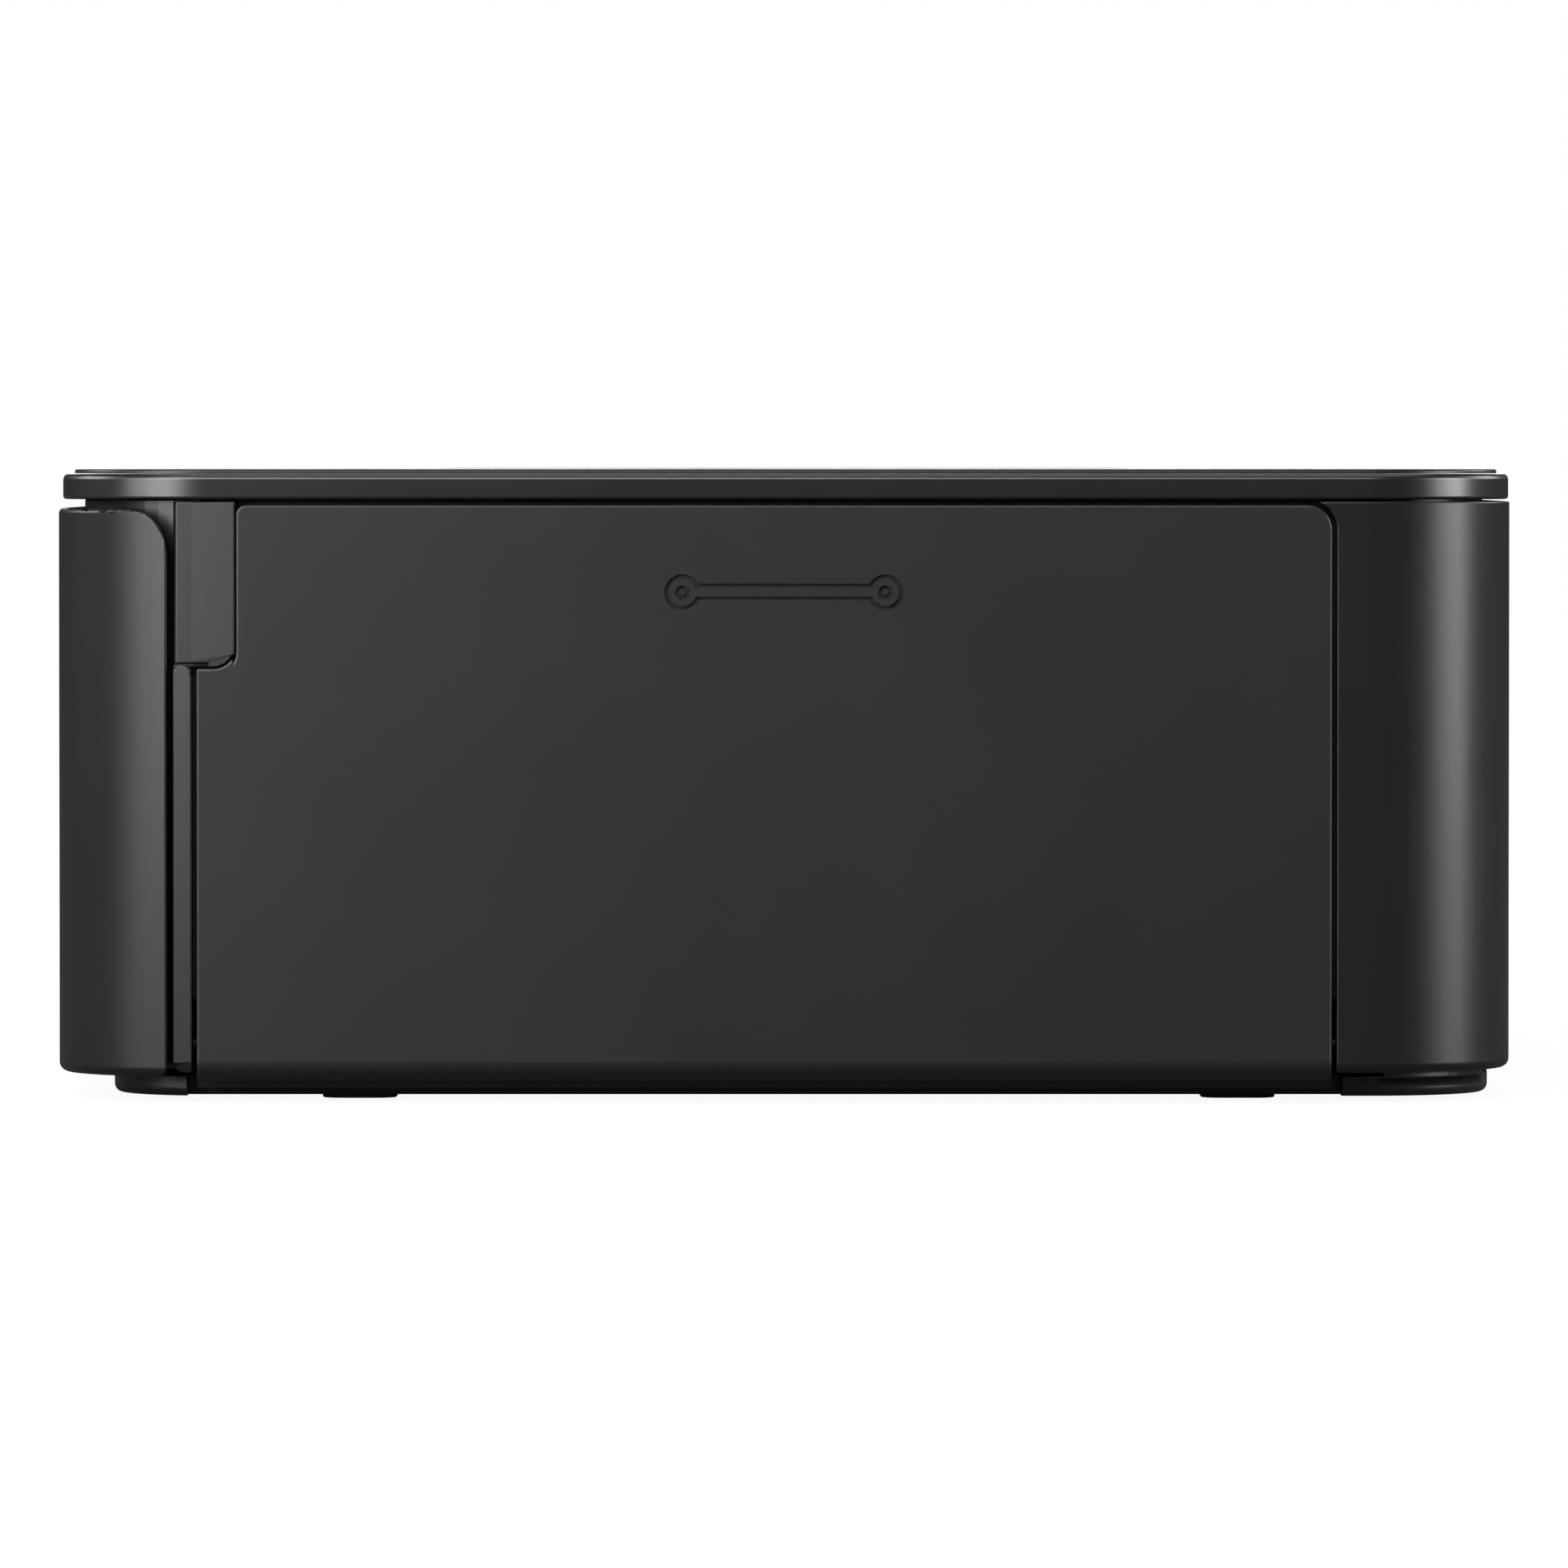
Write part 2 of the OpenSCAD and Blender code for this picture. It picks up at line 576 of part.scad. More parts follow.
module ink_door() color([0.22, 0.22, 0.22]) difference() {
  union() {
    intersection() {
      along_x(side_x - door_lip, side_x) door_outline();
      along_y(door_y0 - over, door_y1 + over) {
        translate([door_in_x, door_z0 + door_roll_r]) square([door_t, body_h]);
        translate([side_x - door_lip, door_z0]) square([door_lip - door_roll_r, 1.8]);
        translate([side_x - door_roll_r, door_z0 + door_roll_r]) circle(door_roll_r, $fn = fine);
      }
    }
    for (y = [door_y0, door_y1 - door_ear_w]) {
      bar_y(y, y + door_ear_w, door_hinge_x, door_hinge_z, door_ear_r);
      block([door_hinge_x, y, door_hinge_z - door_ear_r],
        [door_in_x + 0.5, y + door_ear_w, door_hinge_z + door_ear_r]);
    }
    block([bay_face_x - bay_face_t + 0.3, -4, door_z1 - 3.6], [door_in_x + 0.5, 4, door_z1 - 2.4]);
  }
  for (y = [door_y0 - over, door_y1 - door_ear_w - over])
    bar_y(y, y + door_ear_w + 2 * over, door_hinge_x, door_hinge_z, door_pin_r + run_gap);
  // relief for the ends of the ribbon cassette, and sunk panels below it
  along_x(door_in_x - over, door_in_x + spool_relief) bay_outline(-0.6);
  for (y = [-32, 0, 32]) along_x(door_in_x - over, door_in_x + spool_relief)
    translate([y, 16]) rounded_rect(26, 12, 2);
}

module top_plate() color([0.17, 0.17, 0.17]) {
  for (p = control_post_centres()) translate([p[0], p[1], board_z1])
    cylinder(h = plate_under - board_z1 + 0.1, r = 1.8, $fn = fine);
  difference() {
    union() {
      slab(side_x - 0.2, front_y + 0.4, back_y - 0.1, plate_z0, plate_z1,
        corner_r - 0.4, corner_r - 0.6, 0.6, 0.3);
      difference() {
        slab(side_x - cover_inset - wall - 0.15, front_wall_y + wall + 0.15, back_y - wall - 0.15,
          plate_z0 - 2, plate_z0 + 0.5, corner_r - cover_inset - wall, corner_r - wall - 0.5);
        slab(side_x - cover_inset - wall - 1.65, front_wall_y + wall + 1.65, back_y - wall - 1.65,
          plate_z0 - 3, plate_z0 + 1, corner_r - cover_inset - wall - 1.5, corner_r - wall - 2);
      }
    }
    difference() {
      slab(side_x - 7.5, front_y + 7.5, back_y - 7.5, plate_z0 - over, plate_under, 6, 6);
      for (x = [-70, -30, 8], y = [-54, 54]) translate([x, y - 0.6, plate_z0 - over]) cube([22, 1.2, plate_t]);
    }
    // seat of the embossed panel
    slab(side_x - 1.2, front_y + 1.4, back_y - 1.1, plate_z1 - 0.6, plate_z1 + over,
      corner_r - 1.4, corner_r - 1.6);
    top_openings();
  }
}

// Openings for the lens and the buttons
module top_openings() {
  translate([lens_x, lens_y, plate_z0 - over]) linear_extrude(10) rounded_rect(lcd_w - 2, lcd_d - 2, 2);
  translate([lens_x, lens_y, plate_z1 - lens_t + panel_rise]) linear_extrude(10)
    rounded_rect(lens_w + 0.2, lens_d + 0.2, 4.1);
  translate([nav_at[0], nav_at[1], plate_z0 - over]) cylinder(h = 10, r = nav_r + button_gap, $fn = fine);
  for (p = [menu_at, edit_at, back_at]) translate([p[0], p[1], plate_z0 - over]) linear_extrude(10)
    rounded_rect(pill_w + 2 * button_gap, pill_d + 2 * button_gap, pill_d / 2 - 0.01);
  translate([print_at[0], print_at[1], plate_z0 - over]) linear_extrude(10)
    rounded_rect(print_w + 2 * button_gap, print_d + 2 * button_gap, print_d / 2 - 0.01);
  for (p = [power_at, wireless_at]) translate([p[0], p[1], plate_z0 - over])
    cylinder(h = 10, r = round_r + button_gap, $fn = fine);
}

module top_panel() color([0.16, 0.16, 0.16]) difference() {
  slab(side_x - 1.3, front_y + 1.5, back_y - 1.2, plate_z1 - 0.6, body_h,
    corner_r - 1.5, corner_r - 1.7, 0.3, 0);
  top_openings();
}

module display_lens() color([0.03, 0.03, 0.035])
  translate([lens_x, lens_y, plate_z1 - lens_t + panel_rise]) linear_extrude(lens_t - 0.05)
    rounded_rect(lens_w, lens_d, 4);

module display_module() color([0.3, 0.32, 0.35]) {
  translate([lens_x, lens_y, plate_z1 - lens_t + panel_rise - 0.8]) linear_extrude(0.8)
    rounded_rect(lcd_w - 2.6, lcd_d - 2.6, 1);
  translate([lens_x, lens_y, plate_z0 - 1.6]) linear_extrude(plate_t + panel_rise - lens_t + 0.8)
    rounded_rect(lcd_w - 4, lcd_d - 4, 1);
}

module control_board() color([0.05, 0.3, 0.16]) {
  block([20, -52, board_z1 - board_t], [84, 54, board_z1]);
  color("silver") for (p = concat([menu_at, edit_at, back_at, print_at, power_at, wireless_at, nav_at],
      [for (a = [0 : 90 : 270]) nav_at + 11.5 * [cos(a), sin(a)]]))
    translate([p[0], p[1], board_z1 - 0.01]) cylinder(h = dome_h, r = 2.2, $fn = fine);
}

// Button cap with a flange under the plate and a stem to its switch, around a flat outline
module button_flange_height() {
  translate([0, 0, plate_under - 0.05 - button_flange_t]) linear_extrude(button_flange_t) children();
}

module pill_button(at, w, d) translate([at[0], at[1], 0]) {
  translate([0, 0, plate_under - 0.1]) linear_extrude(button_top - plate_under + 0.1)
    rounded_rect(w, d, d / 2 - 0.01);
  button_flange_height()
    rounded_rect(w + 2 * button_flange_w, d + 2 * button_flange_w, d / 2 + button_flange_w - 0.01);
  button_stem();
}

module round_button(at, r) translate([at[0], at[1], 0]) {
  translate([0, 0, plate_under - 0.1]) cylinder(h = button_top - plate_under + 0.1, r = r, $fn = fine);
  button_flange_height() circle(r + button_flange_w, $fn = fine);
  button_stem();
}

module button_stem() {
  foot = board_z1 + dome_h + button_travel + 0.1;
  translate([0, 0, foot]) cylinder(h = plate_under - foot, r = 1.2, $fn = fine);
}

module power_button() color([0.3, 0.3, 0.31]) round_button(power_at, round_r);
module wireless_button() color([0.3, 0.3, 0.31]) round_button(wireless_at, round_r);
module menu_button() color([0.3, 0.3, 0.31]) pill_button(menu_at, pill_w, pill_d);
module edit_button() color([0.3, 0.3, 0.31]) pill_button(edit_at, pill_w, pill_d);
module back_button() color([0.3, 0.3, 0.31]) pill_button(back_at, pill_w, pill_d);
module print_button() color([0.35, 0.35, 0.36]) pill_button(print_at, print_w, print_d);

module nav_ring() color([0.24, 0.24, 0.25]) translate([nav_at[0], nav_at[1], 0]) {
  difference() {
    union() {
      translate([0, 0, plate_under - 0.1]) cylinder(h = button_top - plate_under + 0.1, r = nav_r, $fn = fine);
      button_flange_height() circle(nav_r + button_flange_w, $fn = fine);
    }
    translate([0, 0, plate_z0 - 3]) cylinder(h = 10, r = ok_r + 1.4, $fn = fine);
  }
  for (a = [0 : 90 : 270]) rotate([0, 0, a]) translate([11.5, 0, 0]) button_stem();
}

module ok_button() color([0.35, 0.35, 0.36]) translate([nav_at[0], nav_at[1], 0]) {
  translate([0, 0, plate_under - 1]) cylinder(h = button_top - plate_under + 1, r = ok_r, $fn = fine);
  button_stem();
}

// ---- print mechanism ----

// Outline of a side plate in Y and Z
module side_plate_outline() difference() {
  translate([-56, case_z0 + 1.6]) square([114, 50 - case_z0]);
  translate([-57, 44]) square([16, 20]);
  translate([pickup_y, pickup_z]) circle(shaft_r + bush_t, $fn = fine);
  translate([0, platen_z]) circle(shaft_r + bush_t, $fn = fine);
  translate([feed_y, feed_z]) circle(shaft_r + bush_t, $fn = fine);
  translate([feed_y, pinch_z]) circle(thin_shaft_r + bush_t, $fn = fine);
  translate([head_pivot_y, head_pivot_z]) circle(thin_shaft_r, $fn = fine);
  translate([-26, 12]) rounded_rect(16, 8, 3);
  translate([26, 12]) rounded_rect(14, 8, 3);
}

// Feet bent out from the bottom of a side plate
module side_plate_feet() for (y = [-42, 10, 46]) difference() {
  block([plate_in_x, y - 4, case_z0 + 1.6], [plate_out_x + 4.2, y + 4, case_z0 + 1.6 + side_plate_t]);
  translate([plate_out_x + 2, y, 0]) cylinder(h = 20, r = 1.1, $fn = fine);
}

module left_side_plate() color([0.72, 0.73, 0.75]) {
  along_x(-plate_out_x, -plate_in_x) difference() {
    side_plate_outline();
    translate([lobe_y, lobe_z]) circle(shaft_r + bush_t, $fn = fine);
    translate([-lobe_y, lobe_z]) circle(5, $fn = fine);
  }
  mirror([1, 0, 0]) side_plate_feet();
}

module right_side_plate() color([0.72, 0.73, 0.75]) {
  along_x(plate_in_x, plate_out_x) difference() {
    side_plate_outline();
    bay_outline(0.1);
  }
  side_plate_feet();
}

module tie_bars() color([0.72, 0.73, 0.75])
  for (at = [[-50, 40], [54, 10], [-14, 12], [54, 46]]) bar_x(-plate_in_x, plate_in_x, at[0], at[1], 1.8);

module paper_guide() color([0.3, 0.3, 0.31]) difference() {
  union() {
    block([-plate_in_x, -36, 25], [plate_in_x, 38.5, 26.6]);
    for (x = [-48 : 12 : 48], y = [-35, platen_r + 2]) block([x - 0.6, y, 26.5], [x + 0.6, y + 26, 27]);
  }
  block([-54, -platen_r - 1, 20], [54, platen_r + 1, 40]);
}

module cassette_guide() color([0.3, 0.3, 0.31]) difference() {
  union() {
    block([-slot_half_w - guide_t + 0.2, front_wall_y + 0.4, slot_z0 - guide_t + 0.2],
      [slot_half_w + guide_t - 0.2, slot_depth_y, slot_z1 + guide_t - 0.2]);
    for (x = [-42 : 28 : 42]) block([x - 3, cover_hinge_y + trough_r + 2.2, case_z0 + 1.6],
      [x + 3, slot_depth_y, slot_z0]);
    for (x = [-40 : 20 : 40]) block([x - 0.6, front_wall_y + 4, slot_z1 + guide_t - 0.3],
      [x + 0.6, slot_depth_y, slot_z1 + guide_t + 0.8]);
  }
  block([-slot_half_w, front_y, slot_z0], [slot_half_w, slot_depth_y - guide_t, slot_z1]);
  block([-26, pickup_y - 8, slot_z1 - over], [26, pickup_y + 8, slot_z1 + 2 * guide_t]);
}

module bay_liner() color([0.26, 0.26, 0.27]) along_x(plate_out_x, bay_face_x - 0.4) difference() {
  bay_outline(1.4);
  bay_outline(0);
}

module eject_lever() color([0.85, 0.45, 0.1]) {
  back_x = bay_face_x - bay_face_t - 0.15;
  block([back_x - 1.6, eject_y - eject_w / 2, eject_z0 - 6], [back_x, eject_y + eject_w / 2, eject_z0 + 10]);
  difference() {
    block([back_x - 0.5, eject_y - 1.3, eject_z0], [bay_face_x - 0.1, eject_y + 1.3, eject_z0 + eject_pad_h]);
    for (z = [1.1 : 1.1 : 3.6]) bar_y(eject_y - 2, eject_y + 2, bay_face_x - 0.1, eject_z0 + z, 0.3);
  }
  block([plate_out_x + 0.1, eject_y - 0.8, eject_z0 - 5], [back_x - 0.5, eject_y + 0.8, eject_z0 - 2]);
}

module roller_bushes() color([0.9, 0.9, 0.88])
  for (s = [0, 1]) mirror([s, 0, 0]) for (at = [
      [pickup_y, pickup_z, shaft_r], [0, platen_z, shaft_r],
      [feed_y, feed_z, shaft_r], [feed_y, pinch_z, thin_shaft_r]])
    difference() {
      union() {
        bar_x(plate_in_x, plate_out_x, at[0], at[1], at[2] + bush_t);
        bar_x(plate_in_x - 0.8, plate_in_x, at[0], at[1], at[2] + bush_t + 0.4);
      }
      bar_x(plate_in_x - 2, plate_out_x + 1, at[0], at[1], at[2] + run_gap);
    }

module pickup_roller() color([0.12, 0.12, 0.12]) {
  bar_x(-plate_out_x - 5, plate_out_x + 1, pickup_y, pickup_z, shaft_r);
  for (x = [-22, 6]) bar_x(x, x + 16, pickup_y, pickup_z, pickup_r);
}

module pickup_gear() color([0.9, 0.9, 0.86])
  gear_x_axis(pickup_teeth, gear_x, gear_t, pickup_y, pickup_z, pickup_angle, shaft_r);

module pickup_pinion() color([0.8, 0.7, 0.3])
  gear_x_axis(pinion_teeth, gear_x, gear_t, pickup_pinion_y, pickup_pinion_z,
    pickup_angle + 180 + 180 / pinion_teeth, motor_shaft_r + run_gap);

module platen_roller() color([0.1, 0.1, 0.1]) {
  bar_x(-plate_out_x - 1, plate_out_x + 1, 0, platen_z, shaft_r);
  bar_x(-53, 53, 0, platen_z, platen_r);
}

module feed_roller() color([0.6, 0.6, 0.62]) {
  bar_x(-plate_out_x - 5, plate_out_x + 1, feed_y, feed_z, shaft_r);
  bar_x(-52, 52, feed_y, feed_z, feed_r);
}

module feed_gear() color([0.9, 0.9, 0.86])
  gear_x_axis(feed_teeth, gear_x, gear_t, feed_y, feed_z, feed_angle, shaft_r);

module feed_pinion() color([0.8, 0.7, 0.3])
  gear_x_axis(pinion_teeth, gear_x, gear_t, feed_pinion_y, feed_pinion_z,
    feed_angle + 180 + 180 / pinion_teeth, motor_shaft_r + run_gap);

module pinch_roller() color([0.12, 0.12, 0.12]) {
  bar_x(-plate_out_x - 1, plate_out_x + 1, feed_y, pinch_z, thin_shaft_r);
  for (x = [-48, -15, 18]) bar_x(x, x + 30, feed_y, pinch_z, pinch_r);
}

module ribbon_spindle() color([0.85, 0.85, 0.82]) {
  bar_x(-plate_out_x - 5, -plate_in_x + 1, lobe_y, lobe_z, shaft_r);
  bar_x(-plate_in_x + 0.6, -plate_in_x + 3, lobe_y, lobe_z, 6);
  bar_x(-plate_in_x + 3, -plate_in_x + 9, lobe_y, lobe_z, 3.4);
  for (a = [0 : 60 : 300]) translate([0, lobe_y, lobe_z]) rotate([a, 0, 0])
    block([-plate_in_x + 3, -0.5, 0], [-plate_in_x + 8, 0.5, 4.2]);
}

module ribbon_gear() color([0.9, 0.9, 0.86])
  gear_x_axis(ribbon_teeth, gear_x, gear_t, lobe_y, lobe_z, ribbon_angle, shaft_r);

module ribbon_pinion() color([0.8, 0.7, 0.3])
  gear_x_axis(pinion_teeth, gear_x, gear_t, ribbon_pinion_y, ribbon_pinion_z,
    ribbon_angle + 180 + 180 / pinion_teeth, motor_shaft_r + run_gap);

// Motor outside the gear plate, with its shaft reaching through to the pinion
module motor(y, z, r, l) {
  bar_x(gear_plate_x - l, gear_plate_x - 0.8, y, z, r);
  bar_x(gear_plate_x - l - 0.8, gear_plate_x - l, y, z, 2.6);
  along_x(gear_plate_x - 0.8, gear_plate_x) translate([y, z]) difference() {
    union() {
      circle(r + 0.6, $fn = fine);
      square([2 * r + 5, 5], center = true);
    }
    for (s = [-1, 1]) translate([s * (r + 1.3), 0]) circle(0.9, $fn = fine);
  }
  bar_x(gear_plate_x - 0.1, gear_x + gear_t + 0.4, y, z, motor_shaft_r);
}

module feed_motor() color([0.62, 0.62, 0.6]) motor(feed_pinion_y, feed_pinion_z, 10.5, 17);
module ribbon_motor() color([0.62, 0.62, 0.6]) motor(ribbon_pinion_y, ribbon_pinion_z, 8, 17);
module pickup_motor() color([0.62, 0.62, 0.6]) motor(pickup_pinion_y, pickup_pinion_z, 8, 14);

module gear_plate() color([0.72, 0.73, 0.75]) {
  difference() {
    along_x(gear_plate_x, gear_plate_x + 1.2) translate([-56, case_z0 + 3]) square([114, 46 - case_z0]);
    for (at = [[feed_pinion_y, feed_pinion_z], [ribbon_pinion_y, ribbon_pinion_z],
        [pickup_pinion_y, pickup_pinion_z]])
      bar_x(gear_plate_x - 1, gear_plate_x + 3, at[0], at[1], 2);
  }
  for (at = [[-50, 12], [-50, 38], [-8, 10], [53, 44], [-8, 46], [20, 8]])
    bar_x(gear_plate_x + 1.1, -plate_out_x, at[0], at[1], 2.2);
}

module thermal_head() color([0.9, 0.88, 0.8]) translate([0, head_y, 0]) {
  block([-head_half_w, -6, 31], [head_half_w, 6, 32.2]);
  intersection() {
    bar_x(-head_half_w, head_half_w, 0, 33.4, 3.4);
    block([-head_half_w - over, -2, 29], [head_half_w + over, 2, 31.5]);
  }
}

module head_heatsink() color([0.75, 0.76, 0.78]) translate([0, head_y, 0]) {
  block([-head_half_w, -6.5, 32.2], [head_half_w, 6.5, 36]);
  for (y = [-6.5 : 2.3 : 6]) block([-head_half_w, y, 35.9], [head_half_w, y + 1.2, 49]);
  block([-head_half_w, -1.9, 35.9], [head_half_w, 3.9, bracket_z0]);
}

module head_bracket() color([0.72, 0.73, 0.75]) difference() {
  union() {
    block([-head_half_w, -7.5, bracket_z0], [head_half_w, head_pivot_y, bracket_z0 + bracket_t]);
    bar_x(-head_half_w, -head_half_w + 8, head_pivot_y, head_pivot_z, 2.6);
    bar_x(head_half_w - 8, head_half_w, head_pivot_y, head_pivot_z, 2.6);
  }
  bar_x(-head_half_w - 1, head_half_w + 1, head_pivot_y, head_pivot_z, thin_shaft_r + run_gap);
  block([-head_half_w + 8, head_pivot_y - 3, bracket_z0 - 1],
    [head_half_w - 8, head_pivot_y + 3, bracket_z0 + 3]);
  for (x = [-36 : 18 : 36]) translate([x, 24, bracket_z0 - 1]) linear_extrude(4) rounded_rect(12, 20, 2);
}

module head_pivot_shaft() color([0.75, 0.75, 0.77])
  bar_x(-plate_out_x - 0.8, plate_out_x + 0.8, head_pivot_y, head_pivot_z, thin_shaft_r);

// ---- electronics ----

module main_board() color([0.05, 0.3, 0.16]) block([board_x, -50, 8], [board_x + pcb_t, 0, 50]);

// Parts soldered to the inner face of the main board and to the top of the power board
module board_parts() color([0.1, 0.1, 0.11]) {
  face_x = board_x + pcb_t;
  face_z = power_board_z + pcb_t;
  choke_x = (plate_out_x + pocket_x) / 2;
  for (at = [[-12, 35, 14, 14], [-13, 22, 10, 6], [-30, 42, 9, 6]])
    along_x(face_x, face_x + 1.3) translate([at[0], at[1]]) square([at[2], at[3]], center = true);
  for (y = [-42, -24, -8]) block([face_x, y - 4, 45.5], [face_x + 3.4, y + 4, 49]);
  for (z = [11.5, 16]) bar_x(face_x, face_x + 1.6, -8, z, 1.9);
  // choke, capacitors and sockets of the power supply
  block([choke_x - 6, -8, face_z], [choke_x + 6, 6, face_z + 8.5]);
  for (y = [-26, -15]) translate([choke_x, y, face_z]) cylinder(h = 10.5, r = 4, $fn = fine);
  for (y = [16, 29]) block([choke_x - 5, y - 3.4, face_z], [choke_x + 5, y + 3.4, face_z + 5.5]);
}

module card_slot() color([0.75, 0.75, 0.77]) {
  difference() {
    block([-side_x + wall + 0.1, -46.5, 29.4], [board_x, -19.5, 33.8]);
    block([-side_x, -45.5, 30.4], [board_x - 0.5, -20.5, 32.8]);
  }
  for (y = [-43 : 2.5 : -23]) block([-side_x + wall + 0.4, y - 0.6, 30.3], [board_x - 0.4, y + 0.6, 30.9]);
}

module usb_port() color([0.75, 0.75, 0.77]) translate([0, -33, 18]) {
  difference() {
    along_x(-side_x + 0.6, board_x) rounded_rect(9, 3.2, 1.5);
    along_x(-side_x, board_x - 0.6) rounded_rect(8.3, 2.5, 1.2);
  }
  block([-side_x + 1.4, -3.3, -0.35], [board_x, 3.3, 0.35]);
}

module power_board() color([0.05, 0.3, 0.16]) {
  block([plate_out_x + 1.5, -38, power_board_z], [pocket_x - 2.4, 38, power_board_z + pcb_t]);
}

module dc_inlet() color([0.1, 0.1, 0.1]) translate([inlet_x, 0, inlet_z]) difference() {
  union() {
    bar_y(back_y - wall - 9, back_y - 0.6, 0, 0, inlet_r);
    block([-4.5, back_y - wall - 10, -4.5], [4.5, back_y - wall - 0.1, 4.5]);
  }
  difference() {
    bar_y(back_y - wall - 8, back_y, 0, 0, 2.8);
    bar_y(back_y - wall - 9, back_y - 2, 0, 0, 0.9);
  }
}

module fan_frame() color([0.1, 0.1, 0.1]) translate([fan_x, back_y - wall - fan_t, fan_z]) {
  difference() {
    block([-fan_w / 2, 0, -fan_w / 2], [fan_w / 2, fan_t, fan_w / 2]);
    bar_y(-over, fan_t + over, 0, 0, fan_w / 2 - 0.9);
    for (x = [-1, 1] * (fan_w / 2 - 1.6), z = [-1, 1] * (fan_w / 2 - 1.6)) bar_y(-over, fan_t + over, x, z, 0.7);
  }
  // spider that carries the motor
  difference() {
    bar_y(0, 1.2, 0, 0, 4.4);
    bar_y(-over, 2, 0, 0, 1 + run_gap);
  }
  for (a = [45 : 90 : 315]) rotate([0, a, 0]) block([3.5, 0, -0.7], [fan_w / 2 - 0.5, 1.2, 0.7]);
}

module fan_rotor() color([0.15, 0.15, 0.16]) translate([fan_x, back_y - wall - fan_t, fan_z]) {
  bar_y(0.2, 2, 0, 0, 1);
  bar_y(1.5, fan_t - 0.8, 0, 0, 4.6);
  for (i = [0 : 6]) rotate([0, i * 360 / 7, 0]) translate([3.8, fan_t / 2 + 0.4, 0]) rotate([38, 0, 0])
    block([0, -3.2, -0.35], [3.9, 3.2, 0.35]);
}

module terminal_cover() color([0.2, 0.2, 0.2]) difference() {
  along_y(back_y - 1.2, back_y - 0.1) translate([0, 15.75]) rounded_rect(30, 8.5, 0.8);
  translate([11.2, 0, 15.75]) along_y(back_y - 0.6, back_y) rounded_rect(3, 5.6, 1.2);
}

base_plate();
rubber_feet();
base_screws();
housing();
top_plate();
top_panel();
front_cover();
cover_hinge_pins();
ink_door();
door_hinge_pins();
display_lens();
display_module();
control_board();
power_button();
wireless_button();
menu_button();
edit_button();
back_button();
nav_ring();
ok_button();
print_button();
left_side_plate();
right_side_plate();
tie_bars();
paper_guide();
cassette_guide();
bay_liner();
eject_lever();
roller_bushes();
pickup_roller();
pickup_gear();
pickup_pinion();
pickup_motor();
platen_roller();
feed_roller();
feed_gear();
feed_pinion();
feed_motor();
pinch_roller();
ribbon_spindle();
ribbon_gear();
ribbon_pinion();
ribbon_motor();
gear_plate();
thermal_head();
head_heatsink();
head_bracket();
head_pivot_shaft();
main_board();
card_slot();
usb_port();
power_board();
board_parts();
dc_inlet();
fan_frame();
fan_rotor();
terminal_cover();
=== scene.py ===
# %% [markdown]
# # A compact photo printer, finished around its CAD frame
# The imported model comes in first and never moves: every moulding, roller and gear of the printer is
# already in its place, in metres. This lesson gives each of them a finish, rounds the edges that
# the eye meets, and adds the small surfaces that are easier to compute than to model by hand.

# %% Load the frame
import json
import math

import bmesh
import bpy
import numpy as np
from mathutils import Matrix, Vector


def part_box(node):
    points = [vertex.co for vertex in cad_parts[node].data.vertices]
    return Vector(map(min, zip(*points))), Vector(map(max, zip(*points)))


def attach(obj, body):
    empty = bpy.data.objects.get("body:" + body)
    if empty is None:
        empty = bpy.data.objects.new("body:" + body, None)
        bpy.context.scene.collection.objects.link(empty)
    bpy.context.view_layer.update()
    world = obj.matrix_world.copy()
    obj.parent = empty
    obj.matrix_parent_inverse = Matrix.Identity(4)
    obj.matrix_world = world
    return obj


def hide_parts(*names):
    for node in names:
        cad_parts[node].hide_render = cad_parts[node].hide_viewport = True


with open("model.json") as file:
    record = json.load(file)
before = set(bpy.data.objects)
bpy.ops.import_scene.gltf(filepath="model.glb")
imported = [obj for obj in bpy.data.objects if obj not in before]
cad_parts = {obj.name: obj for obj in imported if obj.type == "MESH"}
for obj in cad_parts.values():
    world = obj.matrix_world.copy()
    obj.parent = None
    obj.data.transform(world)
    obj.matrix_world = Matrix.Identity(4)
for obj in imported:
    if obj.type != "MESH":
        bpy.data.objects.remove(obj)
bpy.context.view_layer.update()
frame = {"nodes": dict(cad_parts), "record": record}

MM = 0.001
nodes = frame["nodes"]
record = frame["record"]
body_of = {node: body for body, group in record["behaviour"]["bodies"].items() for node in group}
slot_of = {part["node"]: part["material_slot"] for part in record["subparts"]}

# %% [markdown]
# ## The camera first
# A long lens about a metre away keeps the side of the printer nearly free of perspective, as in a
# catalogue picture. The lens sits level with the top of the printer and looks down by a degree and
# a half, so the top plate is seen exactly on edge.

# %% Camera
EYE = (1.262, 0.0, 0.0585)
LOOK_DOWN = 1.441
SENSOR = 36.0
NEAREST = 0.01
SEEN_WIDTH = 143.86 * MM
SEEN_AT = 77 * MM

camera = bpy.data.objects.new("camera", bpy.data.cameras.new("camera"))
bpy.context.scene.collection.objects.link(camera)
camera.location = EYE
camera.rotation_euler = (math.radians(90 - LOOK_DOWN), 0, math.radians(90))
camera.data.sensor_width = SENSOR
camera.data.lens = SENSOR * (EYE[0] - SEEN_AT) / SEEN_WIDTH
camera.data.clip_start = NEAREST
bpy.context.scene.camera = camera
print("lens", round(camera.data.lens, 1), "mm")

# %% [markdown]
# ## Shader maths in plain expressions
# Node trees are easier to read as arithmetic. `Wire` holds one socket and overloads the operators,
# so `1 - mask * 0.5` adds the two Math nodes it needs. `Graph` is a node tree whose only
# node-making method takes a node's kind, its settings and what goes into its sockets. `Finish` is
# the graph of one material, whose patterns lie in object coordinates, so they stay on a piece when
# it moves.

